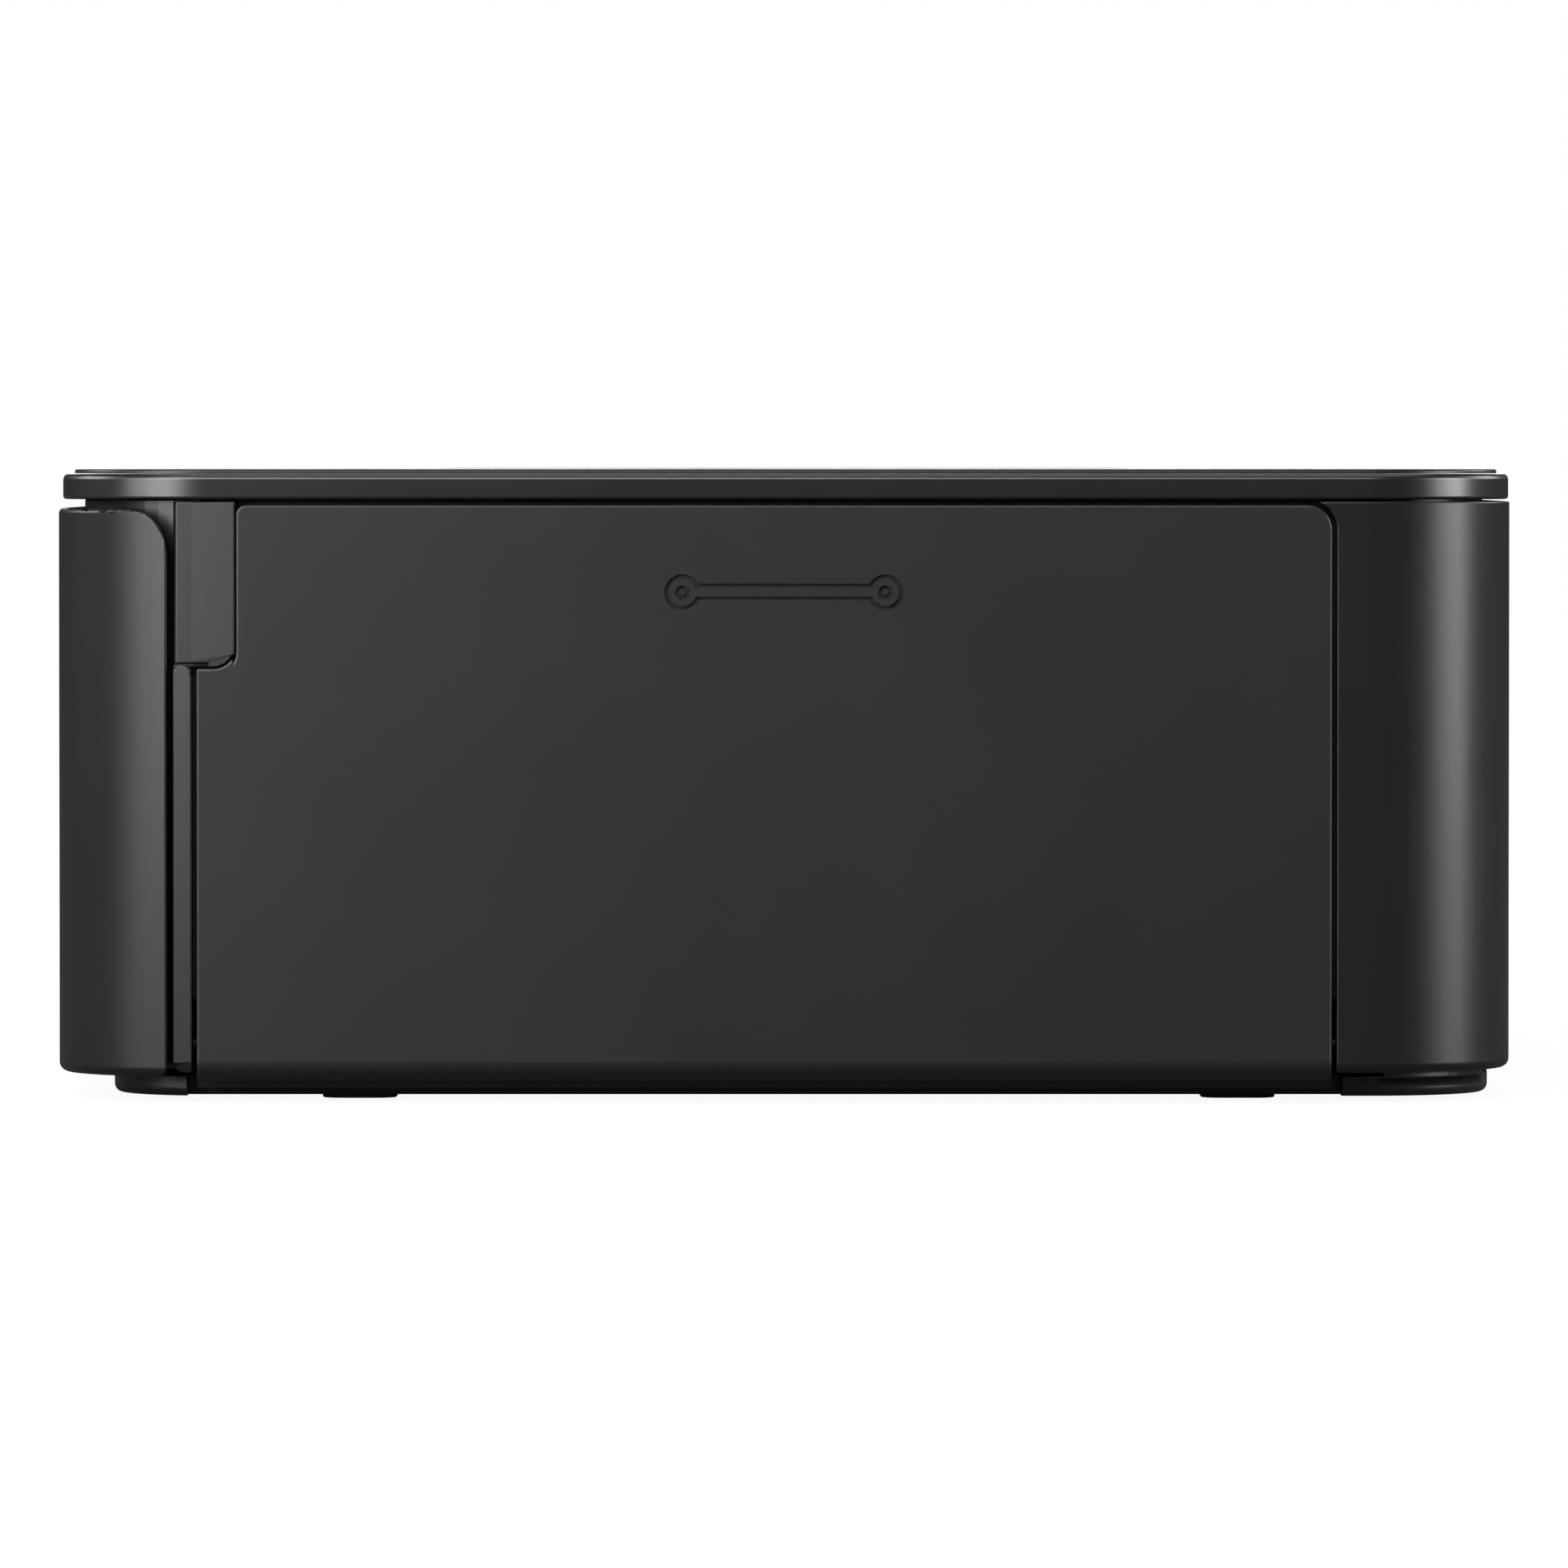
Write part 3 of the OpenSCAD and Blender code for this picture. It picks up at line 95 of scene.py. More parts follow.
# %% Wire, Graph and Finish
class Wire:
    """One output socket in a graph. Arithmetic on it adds Math nodes."""

    def __init__(self, graph, socket):
        self.graph, self.socket = graph, socket

    def math(self, operation, *values):
        return self.graph.node("Math", dict(enumerate(values)), operation=operation)

    def __add__(self, other): return self.math("ADD", self, other)
    def __radd__(self, other): return self.math("ADD", other, self)
    def __sub__(self, other): return self.math("SUBTRACT", self, other)
    def __rsub__(self, other): return self.math("SUBTRACT", other, self)
    def __mul__(self, other): return self.math("MULTIPLY", self, other)
    def __rmul__(self, other): return self.math("MULTIPLY", other, self)


class Graph:
    """A node tree, and the one method that adds nodes to it."""

    def __init__(self, tree):
        self.tree = tree
        tree.nodes.clear()

    def node(self, kind, inputs=(), output=0, **settings):
        """Adds a node: its settings first, then a value or a wire for each named socket."""
        made = self.tree.nodes.new("ShaderNode" + kind)
        for name, value in settings.items():
            setattr(made, name, value)
        for name, value in dict(inputs).items():
            self.feed(made.inputs[name], value)
        return Wire(self, made.outputs[output]) if made.outputs else made

    def feed(self, socket, value):
        """A wire is linked to the socket, and a plain value is set on it."""
        if isinstance(value, Wire):
            self.tree.links.new(value.socket, socket)
        else:
            socket.default_value = value


class Finish(Graph):
    """One material: a Principled shader, and the patterns that drive it."""

    def __init__(self, name):
        self.material = bpy.data.materials.new(name)
        self.material.use_nodes = True
        super().__init__(self.material.node_tree)
        self.surface = self.node("BsdfPrincipled")
        self.shader = self.surface.socket.node
        self.node("OutputMaterial", {"Surface": self.surface})
        self.place = self.node("TexCoord", output="Object")

    def noise(self, size, detail=2.0, stretch=(1, 1, 1)):
        """Noise with spots of about size metres, longer where stretch is above 1."""
        where = self.node("Mapping", {0: self.place, 3: tuple(1 / s for s in stretch)})
        return self.node("TexNoise", {"Vector": where, "Scale": 1 / size, "Detail": detail})

    def tint(self, colour, other, factor):
        """Colour mixed towards other by factor."""
        return self.node("Mix", {0: factor, 6: colour, 7: other}, output=2, data_type="RGBA")

    def relief(self, strength, depth, height):
        """A bumped normal from a height pattern that stands for depth metres."""
        return self.node("Bump", {"Strength": strength, "Distance": depth, "Height": height})

    def set(self, **values):
        """Sets or links the shader's sockets; an underscore stands for a space."""
        for name, value in values.items():
            self.feed(self.shader.inputs[name.replace("_", " ")], value)


def grey(level, warm=0.0):
    """A linear grey, a little warmer in red and cooler in blue by warm."""
    return (level * (1 + warm), level, level * (1 - warm), 1.0)


def shade(colour, factor):
    """A colour made darker or lighter by factor."""
    return tuple(min(1.0, c * factor) for c in colour[:3]) + (1.0,)


print("shader tools ready")

# %% [markdown]
# ## Moulded plastic
# Black mouldings are spark-eroded: the steel mould has a fine matte grain that the plastic copies,
# and the surface still shows wide soft reflections. The grain is a noise of a few tenths of a
# millimetre in the bump, and a slower noise moves the roughness and the colour a little, as the
# melt's flow does.

# %% Plastic finishes
finishes = {}


def moulded(slot, level, roughness, specular, grain=0.00022, depth=0.05, warm=0.0, colour=None):
    """Moulded plastic of a grey level or a colour, with grain spots of that size in metres."""
    f = Finish(slot)
    base = colour or grey(level, warm)
    flow = f.noise(0.018, 3.0)
    fine = f.noise(grain, 2.0)
    f.set(
        Base_Color=f.tint(shade(base, 0.84), shade(base, 1.18), flow * 0.6 + fine * 0.4),
        Roughness=roughness - 0.04 + flow * 0.05 + fine * 0.03,
        Specular_IOR_Level=specular,
        Normal=f.relief(depth, 0.00005, fine),
    )
    finishes[slot] = f


moulded("housing_black", 0.007, 0.36, 0.58)
moulded("cover_black", 0.007, 0.38, 0.52)
moulded("door_black", 0.008, 0.43, 0.70)
moulded("plate_black", 0.005, 0.32, 0.88, depth=0.03)
moulded("embossed_black", 0.011, 0.36, 0.45)
moulded("plinth_black", 0.012, 0.36, 0.80)
moulded("button_grey", 0.040, 0.40, 0.40)
moulded("guide_grey", 0.030, 0.46, 0.30)
moulded("fan_black", 0.015, 0.38, 0.35)
moulded("lever_orange", 0, 0.38, 0.45, colour=(0.55, 0.13, 0.02, 1.0))
moulded("acetal_white", 0.62, 0.36, 0.45, warm=0.03)
moulded("foot_rubber", 0.16, 0.75, 0.25, grain=0.0004, depth=0.12)
moulded("roller_rubber", 0.016, 0.70, 0.25, grain=0.0003, depth=0.15)
print("plastics", sorted(finishes))

# %% [markdown]
# ## Metals
# Sheet steel is rolled, so its scratches run along the sheet: a noise stretched a hundred times in
# one direction drives both roughness and bump. Turned shafts and pinions are scratched round and
# round, and zinc plating adds slow blotches of a slightly different grey.

# %% Metal finishes
def rolled(slot, colour, roughness, stretch, blotch=0.012):
    """Metal with scratches drawn out by stretch and slow blotches in its plating."""
    f = Finish(slot)
    lines = f.noise(0.00018, 2.0, stretch)
    cloud = f.noise(blotch, 3.0)
    f.set(
        Base_Color=f.tint(shade(colour, 0.72), shade(colour, 1.0), cloud * 0.5 + lines * 0.5),
        Metallic=1.0,
        Roughness=roughness - 0.08 + lines * 0.12 + cloud * 0.06,
        Normal=f.relief(0.08, 0.00004, lines),
    )
    finishes[slot] = f


rolled("sheet_steel", (0.60, 0.61, 0.63), 0.34, (1, 80, 1))
rolled("screw_steel", (0.55, 0.55, 0.57), 0.30, (40, 40, 1))
rolled("roller_steel", (0.52, 0.52, 0.54), 0.26, (1, 30, 30))
rolled("pinion_brass", (0.78, 0.58, 0.25), 0.28, (1, 30, 30))
rolled("motor_steel", (0.50, 0.50, 0.50), 0.38, (60, 1, 1))
rolled("socket_steel", (0.58, 0.58, 0.60), 0.26, (1, 60, 1))
# Near-black steel for the hinge pins: painted shade, so the gaps they show through stay dark.
rolled("pins_painted_shade", (0.030, 0.031, 0.036), 0.42, (1, 40, 1))
rolled("head_aluminium", (0.72, 0.73, 0.75), 0.32, (90, 1, 1))
print("finishes", len(finishes))

# %% [markdown]
# ## Glass, boards and ceramic
# The display window is a dark sheet with an anti-glare coat, on which a lamp is only a soft sheen.
# A circuit board shows copper runs through its green mask, which a brick pattern imitates, and the
# print head carries a fine-grained ceramic strip.

# %% Other finishes
def lens_finish():
    """Dark window with an anti-glare coat: a soft sheen, with faint smears in its roughness."""
    f = Finish("lens_gloss")
    smear = f.noise(0.02, 2.0, (3, 1, 1))
    f.set(
        Base_Color=f.tint(grey(0.0035), grey(0.0065), smear),
        Roughness=0.26 + smear * 0.08,
        Specular_IOR_Level=0.22,
    )
    finishes["lens_gloss"] = f


def glass_finish():
    """The display itself: dark polarising film with a fine pixel grid."""
    f = Finish("display_glass")
    grid = f.node("TexBrick", {"Vector": f.place, "Scale": 400.0, "Mortar Size": 0.03,
        "Color1": grey(1.0), "Color2": grey(0.8), "Mortar": grey(0.0)}, output="Fac")
    f.set(
        Base_Color=f.tint((0.010, 0.011, 0.014, 1.0), grey(0.004), grid),
        Roughness=0.18 + grid * 0.06,
        Specular_IOR_Level=0.5,
    )
    finishes["display_glass"] = f


def board_finish():
    """Green solder mask with lighter copper runs below it."""
    f = Finish("board_green")
    runs = f.node("TexBrick", {"Vector": f.place, "Scale": 160.0, "Mortar Size": 0.08,
        "Row Height": 0.4}, output="Fac")
    cloud = f.noise(0.006, 3.0)
    mask, copper = (0.012, 0.10, 0.040, 1.0), (0.03, 0.20, 0.085, 1.0)
    f.set(
        Base_Color=f.tint(mask, copper, runs * 0.7 + cloud * 0.3),
        Roughness=0.30 + cloud * 0.10,
        Specular_IOR_Level=0.5,
        Normal=f.relief(0.25, 0.00004, runs),
    )
    finishes["board_green"] = f


lens_finish()
glass_finish()
board_finish()
moulded("head_ceramic", 0.62, 0.30, 0.5, grain=0.0001, depth=0.03, warm=0.06)
print("finishes", len(finishes))

# %% [markdown]
# ## Dress every CAD node
# Each node takes the finish of its material slot. The nodes whose shape is right stay as they are.
# The hinge pins get a near-black colour, which is painted shade: it keeps the narrow gaps around the
# doors as dark as the shade in them, with no glint.

# %% Dress the nodes
for name, piece in nodes.items():
    piece.data.materials.clear()
    piece.data.materials.append(finishes[slot_of[name]].material)
# The pins take the near-black finish, painted shade for the gaps they sit in.
for name in ("door_hinge_pins", "cover_hinge_pins"):
    nodes[name].data.materials[0] = finishes["pins_painted_shade"].material
print("dressed", len(nodes), "nodes")

# %% [markdown]
# ## Rounded edges
# No moulding has a knife edge: the mould itself is rounded by a tenth or two of a millimetre, and
# that thin round is what catches the light along the door and the top plate. A copy of the CAD node
# is merged, its flat areas are made whole again, and a bevel runs along the edges that turn
# sharply.

# %% Soft copies
WELD = 0.002 * MM
FLAT_TURN = math.radians(0.4)


def place_piece(piece, node, stands_for=True):
    """The piece rides with a node's body, takes its finish, and may stand for it."""
    piece.data.materials.clear()
    piece.data.materials.append(finishes[slot_of[node]].material)
    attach(piece, body_of[node])
    if stands_for:
        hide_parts(node)


def smooth(piece, angle=30):
    """Smooth shading, kept sharp where faces turn by more than angle."""
    picked = [piece]
    with bpy.context.temp_override(object=piece, active_object=piece, selected_objects=picked,
            selected_editable_objects=picked):
        bpy.ops.object.shade_smooth_by_angle(angle=math.radians(angle))


def even(piece):
    """Corner normals weighted by face area, so a flat face looks flat right up to its rounded edge."""
    piece.modifiers.new("even_normals", "WEIGHTED_NORMAL").keep_sharp = True


def soft_copy(node, width, turn=35, segments=3, fit=None):
    """A copy of a node with its outside edges rounded by width millimetres.

    Edges rounded: those that stick outwards and whose two faces turn by more than turn degrees.
    fit maps the corners, an array of points in millimetres, before the edges are rounded.
    """
    mesh = nodes[node].data.copy()
    mesh.name = node + "_soft"
    if fit:
        flat = np.empty(len(mesh.vertices) * 3)
        mesh.vertices.foreach_get("co", flat)
        mesh.vertices.foreach_set("co", (fit(flat.reshape(-1, 3) / MM) * MM).ravel())
    bm = bmesh.new()
    bm.from_mesh(mesh)
    bmesh.ops.remove_doubles(bm, verts=bm.verts, dist=WELD)
    bmesh.ops.dissolve_limit(bm, angle_limit=FLAT_TURN, verts=bm.verts, edges=bm.edges)
    weight = bm.edges.layers.float.new("bevel_weight_edge")
    sharp = math.radians(turn)
    for edge in bm.edges:
        if len(edge.link_faces) == 2 and edge.is_convex and edge.calc_face_angle(0) > sharp:
            edge[weight] = 1.0
    bm.to_mesh(mesh)
    bm.free()
    piece = bpy.data.objects.new(mesh.name, mesh)
    bpy.context.scene.collection.objects.link(piece)
    bevel = piece.modifiers.new("rounded_edges", "BEVEL")
    bevel.limit_method = "WEIGHT"
    bevel.width = width * MM
    bevel.segments = segments
    bevel.use_clamp_overlap = False
    place_piece(piece, node)
    smooth(piece)
    even(piece)
    return piece


print("edge tools ready")

# %% [markdown]
# ## Tight gaps
# The shells close on each other with gaps of two or three tenths of a millimetre. Each copy is
# stretched to its neighbour by a band rule: corners whose height lies in a band move up together,
# so an arc in the band keeps its shape and only the straight runs beside it grow. The recess beside
# the door's notch slopes a few degrees towards the front cover, to let a fingernail in, and the
# jamb rib below it does too. All these numbers are millimetres.

# %% Fits of the shells
RIM_BAND, RIM_LIFT = (51.45, 54.4), 0.64
NOTCH_BAND, NOTCH_LIFT = (38.4, 41.4), 0.60
NOTCH_Y = (-55.6, -49.9)
PLATE_BAND, PLATE_LIFT = (54.45, 54.85), 0.34
FOOT_BAND, FOOT_LIFT = (2.3, 3.35), 0.40
DOOR_FOOT_BAND, DOOR_FOOT_LIFT = (1.5, 3.45), 0.45
COVER_RAMP, COVER_LIFT = (49.0, 53.0), 0.45
SKIN_X, FACE_X, CORNER_X = 88.5, 90.25, 90.15
RECESS_X, RECESS_SLOPE = 91.0, 0.12
RECESS_FOOT, CORNER_FOOT, CORNER_Y = 39.35, 38.95, -55.2
RIB_EDGE, RIB_SINK, RIB_SLOPE, RIB_TOP = -53.75, 0.04, 0.17, 39.25
SLIT_Y, SLIT_Z, SLIT_TOP = -47.85, (52.75, 53.75), 53.7


def between(value, band):
    """True where value lies in the band."""
    return (value > band[0]) & (value < band[1])


def lift(points, band, rise, where=True):
    """Adds rise to the height of the points in the band."""
    points[:, 2] += np.where(between(points[:, 2], band) & where, rise, 0)


def lift_openings(points):
    """The rim and the notch of the door's outline go up."""
    lift(points, RIM_BAND, RIM_LIFT)
    lift(points, NOTCH_BAND, NOTCH_LIFT, (points[:, 0] > SKIN_X) & between(points[:, 1], NOTCH_Y))
    return points


def fit_housing(points):
    """x falls by slope * (edge - y) on the recess and on the rib, and then the bands are lifted."""
    x, y, z = points.T
    high = z > np.where(y > RIB_EDGE + 0.15, CORNER_FOOT, RECESS_FOOT)
    recess = between(y, NOTCH_Y) & high & (x > np.where(y < CORNER_Y, CORNER_X, FACE_X))
    rib = between(y, (NOTCH_Y[0], RIB_EDGE + 0.05)) & (z < RIB_TOP) & (x > FACE_X)
    recess_x = RECESS_X + RECESS_SLOPE * (y - NOTCH_Y[1])
    rib_x = x - RIB_SINK + RIB_SLOPE * (y - RIB_EDGE)
    points[:, 0] = np.where(recess, recess_x, np.where(rib, rib_x, x))
    lift(points, PLATE_BAND, PLATE_LIFT)
    lift(points, FOOT_BAND, FOOT_LIFT)
    return lift_openings(points)


def fit_door(points):
    """A hair slit in the upper edge is closed, and the rolled lower edge goes up."""
    x, y, z = points.T
    slit = (abs(y - SLIT_Y) < 0.1) & between(z, SLIT_Z)
    points[:, 1] = np.where(slit, SLIT_Y, y)
    points[:, 2] = np.where(slit, SLIT_TOP, z)
    lift(points, DOOR_FOOT_BAND, DOOR_FOOT_LIFT)
    return lift_openings(points)


def fit_plate(points):
    """The lower rim goes up, which makes the plate's edge slimmer."""
    lift(points, PLATE_BAND, PLATE_LIFT)
    return points


def fit_cover(points):
    """Height grows along a ramp: z + lift * clip((z - start) / (end - start), 0, 1)."""
    start, end = COVER_RAMP
    points[:, 2] += COVER_LIFT * np.clip((points[:, 2] - start) / (end - start), 0, 1)
    return points


shells = {"housing": (0.14, fit_housing), "front_cover": (0.22, fit_cover),
    "ink_door": (0.20, fit_door), "top_plate": (0.16, fit_plate), "base_plate": (0.14, None),
    "terminal_cover": (0.12, None), "rubber_feet": (0.12, None)}
soft = {node: soft_copy(node, width, fit=fit) for node, (width, fit) in shells.items()}
print("soft shells", len(soft))

# %% [markdown]
# ## Meshes from arrays
# The pieces that follow are worked out as whole arrays of points. One helper turns an array of
# points and an array of corner numbers into an object that stands at the origin, with its place in
# its mesh.

# %% Array to object
def array_piece(name, points, *face_groups):
    """An object from points in metres and groups of faces, each an array of corner numbers."""
    mesh = bpy.data.meshes.new(name)
    faces = [face for group in face_groups for face in np.asarray(group).tolist()]
    mesh.from_pydata(np.asarray(points).tolist(), [], faces)
    mesh.validate()
    piece = bpy.data.objects.new(name, mesh)
    bpy.context.scene.collection.objects.link(piece)
    return piece


print("array helper ready")

# %% [markdown]
# ## The apron under the door
# The plinth's line runs on below the side door. That stretch is an apron on the door itself, tucked
# under its rolled edge, so it clears the floor and the hinge pocket as the door swings.

# %% Door apron
APRON = ((85.9, 1.32), (86.0, 1.18), (86.15, 1.30), (86.2, 1.95), (86.9, 2.20), (88.4, 2.35),
    (88.4, 2.60), (86.2, 2.60), (85.9, 1.90))
APRON_BEYOND = 0.1 * MM


def swept(profile, low, high):
    """A profile of (x, z) points carried along y from low to high, with both ends closed."""
    ring = np.asarray(profile) * MM
    n = len(ring)
    points = np.concatenate([np.stack([ring[:, 0], np.full(n, y), ring[:, 1]], -1)
        for y in (low, high)])
    i = np.arange(n)
    j = (i + 1) % n
    return points, [np.stack([i, i + n, j + n, j], -1), [i.tolist()[::-1]], [(i + n).tolist()]]


door_low, door_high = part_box("ink_door")
apron_low, apron_high = door_low[1] - APRON_BEYOND, door_high[1] + APRON_BEYOND
points, faces = swept(APRON, apron_low, apron_high)
apron = array_piece("door_apron", points, *faces)
apron.data.materials.append(finishes["plinth_black"].material)
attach(apron, body_of["ink_door"])
print("apron length", round((apron_high - apron_low) / MM, 1), "mm")

# %% [markdown]
# ## Parts seen through the openings
# With the side door or the front cover down, the guides, the bay lining and the orange lever come
# into view. They are small mouldings with small rounds, and the bent steel keeps a crisper edge.

# %% Inner parts
inner = {"cassette_guide": 0.10, "paper_guide": 0.08, "bay_liner": 0.10, "eject_lever": 0.14,
    "right_side_plate": 0.05, "left_side_plate": 0.05, "head_bracket": 0.05, "ribbon_spindle": 0.08,
    "fan_frame": 0.08, "display_lens": 0.10}
for node, width in inner.items():
    soft_copy(node, width, segments=2)
print("inner parts", len(inner))

# %% [markdown]
# ## The embossed panel
# The top carries a thin panel with a moulded grid of shallow cushions, like tiny floor tiles, which
# hides scratches. Its height is a formula of x and y, so it is sampled on a grid whose lines fall
# exactly on the grooves. The grid is clipped by signed distance to the panel's outline and to the
# openings, and its outermost points are slid onto that outline, which closes it without a ragged
# edge.

# %% Distance to the panel's outline
def rounded_gap(x, y, centre, half, radius):
    """Signed distance to a rounded rectangle, negative inside.

    q = |p - centre| - half + radius; distance = |max(q, 0)| + min(max(qx, qy), 0) - radius.
    """
    qx = abs(x - centre[0]) - half[0] + radius
    qy = abs(y - centre[1]) - half[1] + radius
    return np.hypot(np.maximum(qx, 0), np.maximum(qy, 0)) + np.minimum(np.maximum(qx, qy), 0) - radius


BUTTON_FLANGE = 0.9 * MM
BUTTON_GAP = 0.2 * MM
LENS_GAP = 0.1 * MM
PANEL_CORNER = 12.4 * MM
LENS_CORNER = 4.1 * MM


def box_middle(node):
    """Centre and half size of a node's box, seen from above."""
    low, high = (np.array(corner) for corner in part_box(node))
    return (low + high)[:2] / 2, (high - low)[:2] / 2


openings = [(*box_middle("display_lens"), LENS_CORNER, LENS_GAP)]
for node in ("nav_ring", "menu_button", "edit_button", "back_button", "print_button", "power_button",
        "wireless_button"):
    centre, half = box_middle(node)
    openings.append((centre, half - BUTTON_FLANGE, half.min() - BUTTON_FLANGE, BUTTON_GAP))


def panel_gap(x, y):
    """Signed distance to the panel: the outline's, or minus an opening's where that is greater."""
    gap = rounded_gap(x, y, *box_middle("top_panel"), PANEL_CORNER)
    for centre, half, radius, clear in openings:
        gap = np.maximum(gap, clear - rounded_gap(x, y, centre, half, radius))
    return gap


print("openings in the panel", len(openings))

# %% [markdown]
# ## Height of the cushions
# Along each direction the profile is the absolute cosine, which is round on the cushion and meets
# in a crisp V at the groove. Near an edge the relief fades out, so the rims of the openings stay
# flat.

# %% The panel's surface
PITCH = 4.2 * MM
STEP = PITCH / 6
GROOVE_DEEP = 0.30 * MM
RIM_FLAT = 0.5 * MM
RIM_FADE = 1.8 * MM
PANEL_ROLL = 0.22 * MM
ROLL_STEPS = 3
CLIP_ROOM = 0.45 * STEP
SLIDES = 4
PANEL_TURN = 40
TINY = 1e-12


def cushion_height(x, y, top):
    """top - deep * fade * (1 - a(x) a(y)), with a(t) = 1 - (1 - |cos(pi t / pitch)|) ** 2.2."""
    swell = 1.0
    for t in (x, y):
        swell = swell * (1 - (1 - abs(np.cos(np.pi * t / PITCH))) ** 2.2)
    near = np.clip((-panel_gap(x, y) - RIM_FLAT) / RIM_FADE, 0, 1)
    return top - GROOVE_DEEP * near * near * (3 - 2 * near) * (1 - swell)


def outward(x, y):
    """Unit direction in which panel_gap grows, from its differences over a hundredth of a millimetre."""
    d = 0.01 * MM
    gx = panel_gap(x + d, y) - panel_gap(x - d, y)
    gy = panel_gap(x, y + d) - panel_gap(x, y - d)
    size = np.maximum(np.hypot(gx, gy), TINY)
    return gx / size, gy / size


def embossed_panel():
    """A closed sheet: the cushion grid on top, a quarter-round rim, walls and a flat underside."""
    low, high = (np.array(corner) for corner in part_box("top_panel"))
    count = np.ceil(np.maximum(abs(low), abs(high))[:2] / STEP).astype(int) + 1
    gx, gy = (np.arange(-n, n + 1) * STEP for n in count)
    x, y = np.meshgrid(gx, gy, indexing="ij")
    number = np.arange(x.size).reshape(x.shape)
    kept = panel_gap(x, y) < -PANEL_ROLL - CLIP_ROOM
    cell = np.pad(kept[:-1, :-1] & kept[1:, :-1] & kept[:-1, 1:] & kept[1:, 1:], 1)
    here = cell[1:-1, 1:-1]
    a, b, c, d = number[:-1, :-1], number[1:, :-1], number[1:, 1:], number[:-1, 1:]
    tiles = np.stack([a, b, c, d], -1)[here]
    sides = (((a, b), cell[1:-1, :-2]), ((b, c), cell[2:, 1:-1]),
        ((c, d), cell[1:-1, 2:]), ((d, a), cell[:-2, 1:-1]))
    edge = np.concatenate([np.stack(pair, -1)[here & ~beside] for pair, beside in sides])
    x, y = x.ravel(), y.ravel()
    rim = np.unique(edge)
    for _ in range(SLIDES):
        nx, ny = outward(x[rim], y[rim])
        move = -PANEL_ROLL - panel_gap(x[rim], y[rim])
        x[rim] += nx * move
        y[rim] += ny * move
    used, tiles_new = np.unique(tiles, return_inverse=True)
    renumber = np.full(number.size, -1)
    renumber[used] = np.arange(len(used))
    tiles, edge, rim = tiles_new.reshape(-1, 4), renumber[edge], renumber[rim]
    x, y = x[used], y[used]
    nx, ny = outward(x[rim], y[rim])
    z = cushion_height(x, y, high[2])
    rows = [np.stack([x, y, z], -1)]
    for turn in np.linspace(0, np.pi / 2, ROLL_STEPS + 1)[1:]:
        out, down = PANEL_ROLL * np.sin(turn), PANEL_ROLL * (1 - np.cos(turn))
        rows.append(np.stack([x[rim] + nx * out, y[rim] + ny * out, z[rim] - down], -1))
    rows.append(rows[-1] * (1, 1, 0) + (0, 0, low[2]))
    rows.append(np.stack([x, y, np.full(len(x), low[2])], -1))
    starts = np.cumsum([0] + [len(r) for r in rows])
    on_rim = np.full(len(x), -1)
    on_rim[rim] = np.arange(len(rim))
    rings = [edge] + [on_rim[edge] + starts[k] for k in range(1, len(rows) - 1)]
    walls = [np.stack([over[:, 1], over[:, 0], under[:, 0], under[:, 1]], -1)
        for over, under in zip(rings[:-1], rings[1:])]
    below = np.arange(len(x)) + starts[-2]
    below[rim] = np.arange(len(rim)) + starts[-3]
    return np.concatenate(rows), [tiles, *walls, below[tiles][:, ::-1]]


panel_points, panel_faces = embossed_panel()
panel = array_piece("embossed_panel", panel_points, *panel_faces)
place_piece(panel, "top_panel")
bm = bmesh.new()
bm.from_mesh(panel.data)
bmesh.ops.delete(bm, geom=[v for v in bm.verts if not v.link_faces], context="VERTS")
open_edges = sum(len(e.link_faces) != 2 for e in bm.edges)
bm.to_mesh(panel.data)
bm.free()
smooth(panel, PANEL_TURN)
print("embossed panel", len(panel.data.polygons), "faces, open edges", open_edges)

# %% [markdown]
# ## Buttons
# Each cap stands in its opening with a hair of room around it. The rim of a cap is rounded more
# than the shells are, since fingers meet it, and the steering ring has the widest round of all.

# %% Button caps
caps = {"nav_ring": 0.32, "ok_button": 0.30, "print_button": 0.26, "menu_button": 0.22,
    "edit_button": 0.22, "back_button": 0.22, "power_button": 0.22, "wireless_button": 0.22}
for node, width in caps.items():
    soft_copy(node, width, segments=4)
print("button caps", len(caps))

# %% [markdown]
# ## Strokes
# Every sign is drawn with strokes. A stroke is a path with two rails beside it, and a prism over
# the rails gives it a body. The same prism, narrower at its inner end, is also a good cutter: the
# walls it leaves slope a little, as they must in a mould.

# %% Rails and prisms
def rails(path, width, closed=False):
    """Two rails beside a path: p + n w / 2 and p - n w / 2.

    n is the mean of the neighbouring segments' normals, divided by the cosine of half their turn.
    """
    path = np.asarray(path, float)
    ahead = np.roll(path, -1, 0) - path
    if not closed:
        ahead[-1] = ahead[-2]
    ahead /= np.hypot(*ahead.T)[:, None]
    behind = np.roll(ahead, 1, 0)
    if not closed:
        behind[0] = ahead[0]
    both = ahead + behind
    normal = np.stack([-both[:, 1], both[:, 0]], -1)
    normal *= 2 / (normal**2).sum(1)[:, None]
    half = np.broadcast_to(np.asarray(width, float) / 2, len(path))[:, None]
    return path + normal * half, path - normal * half


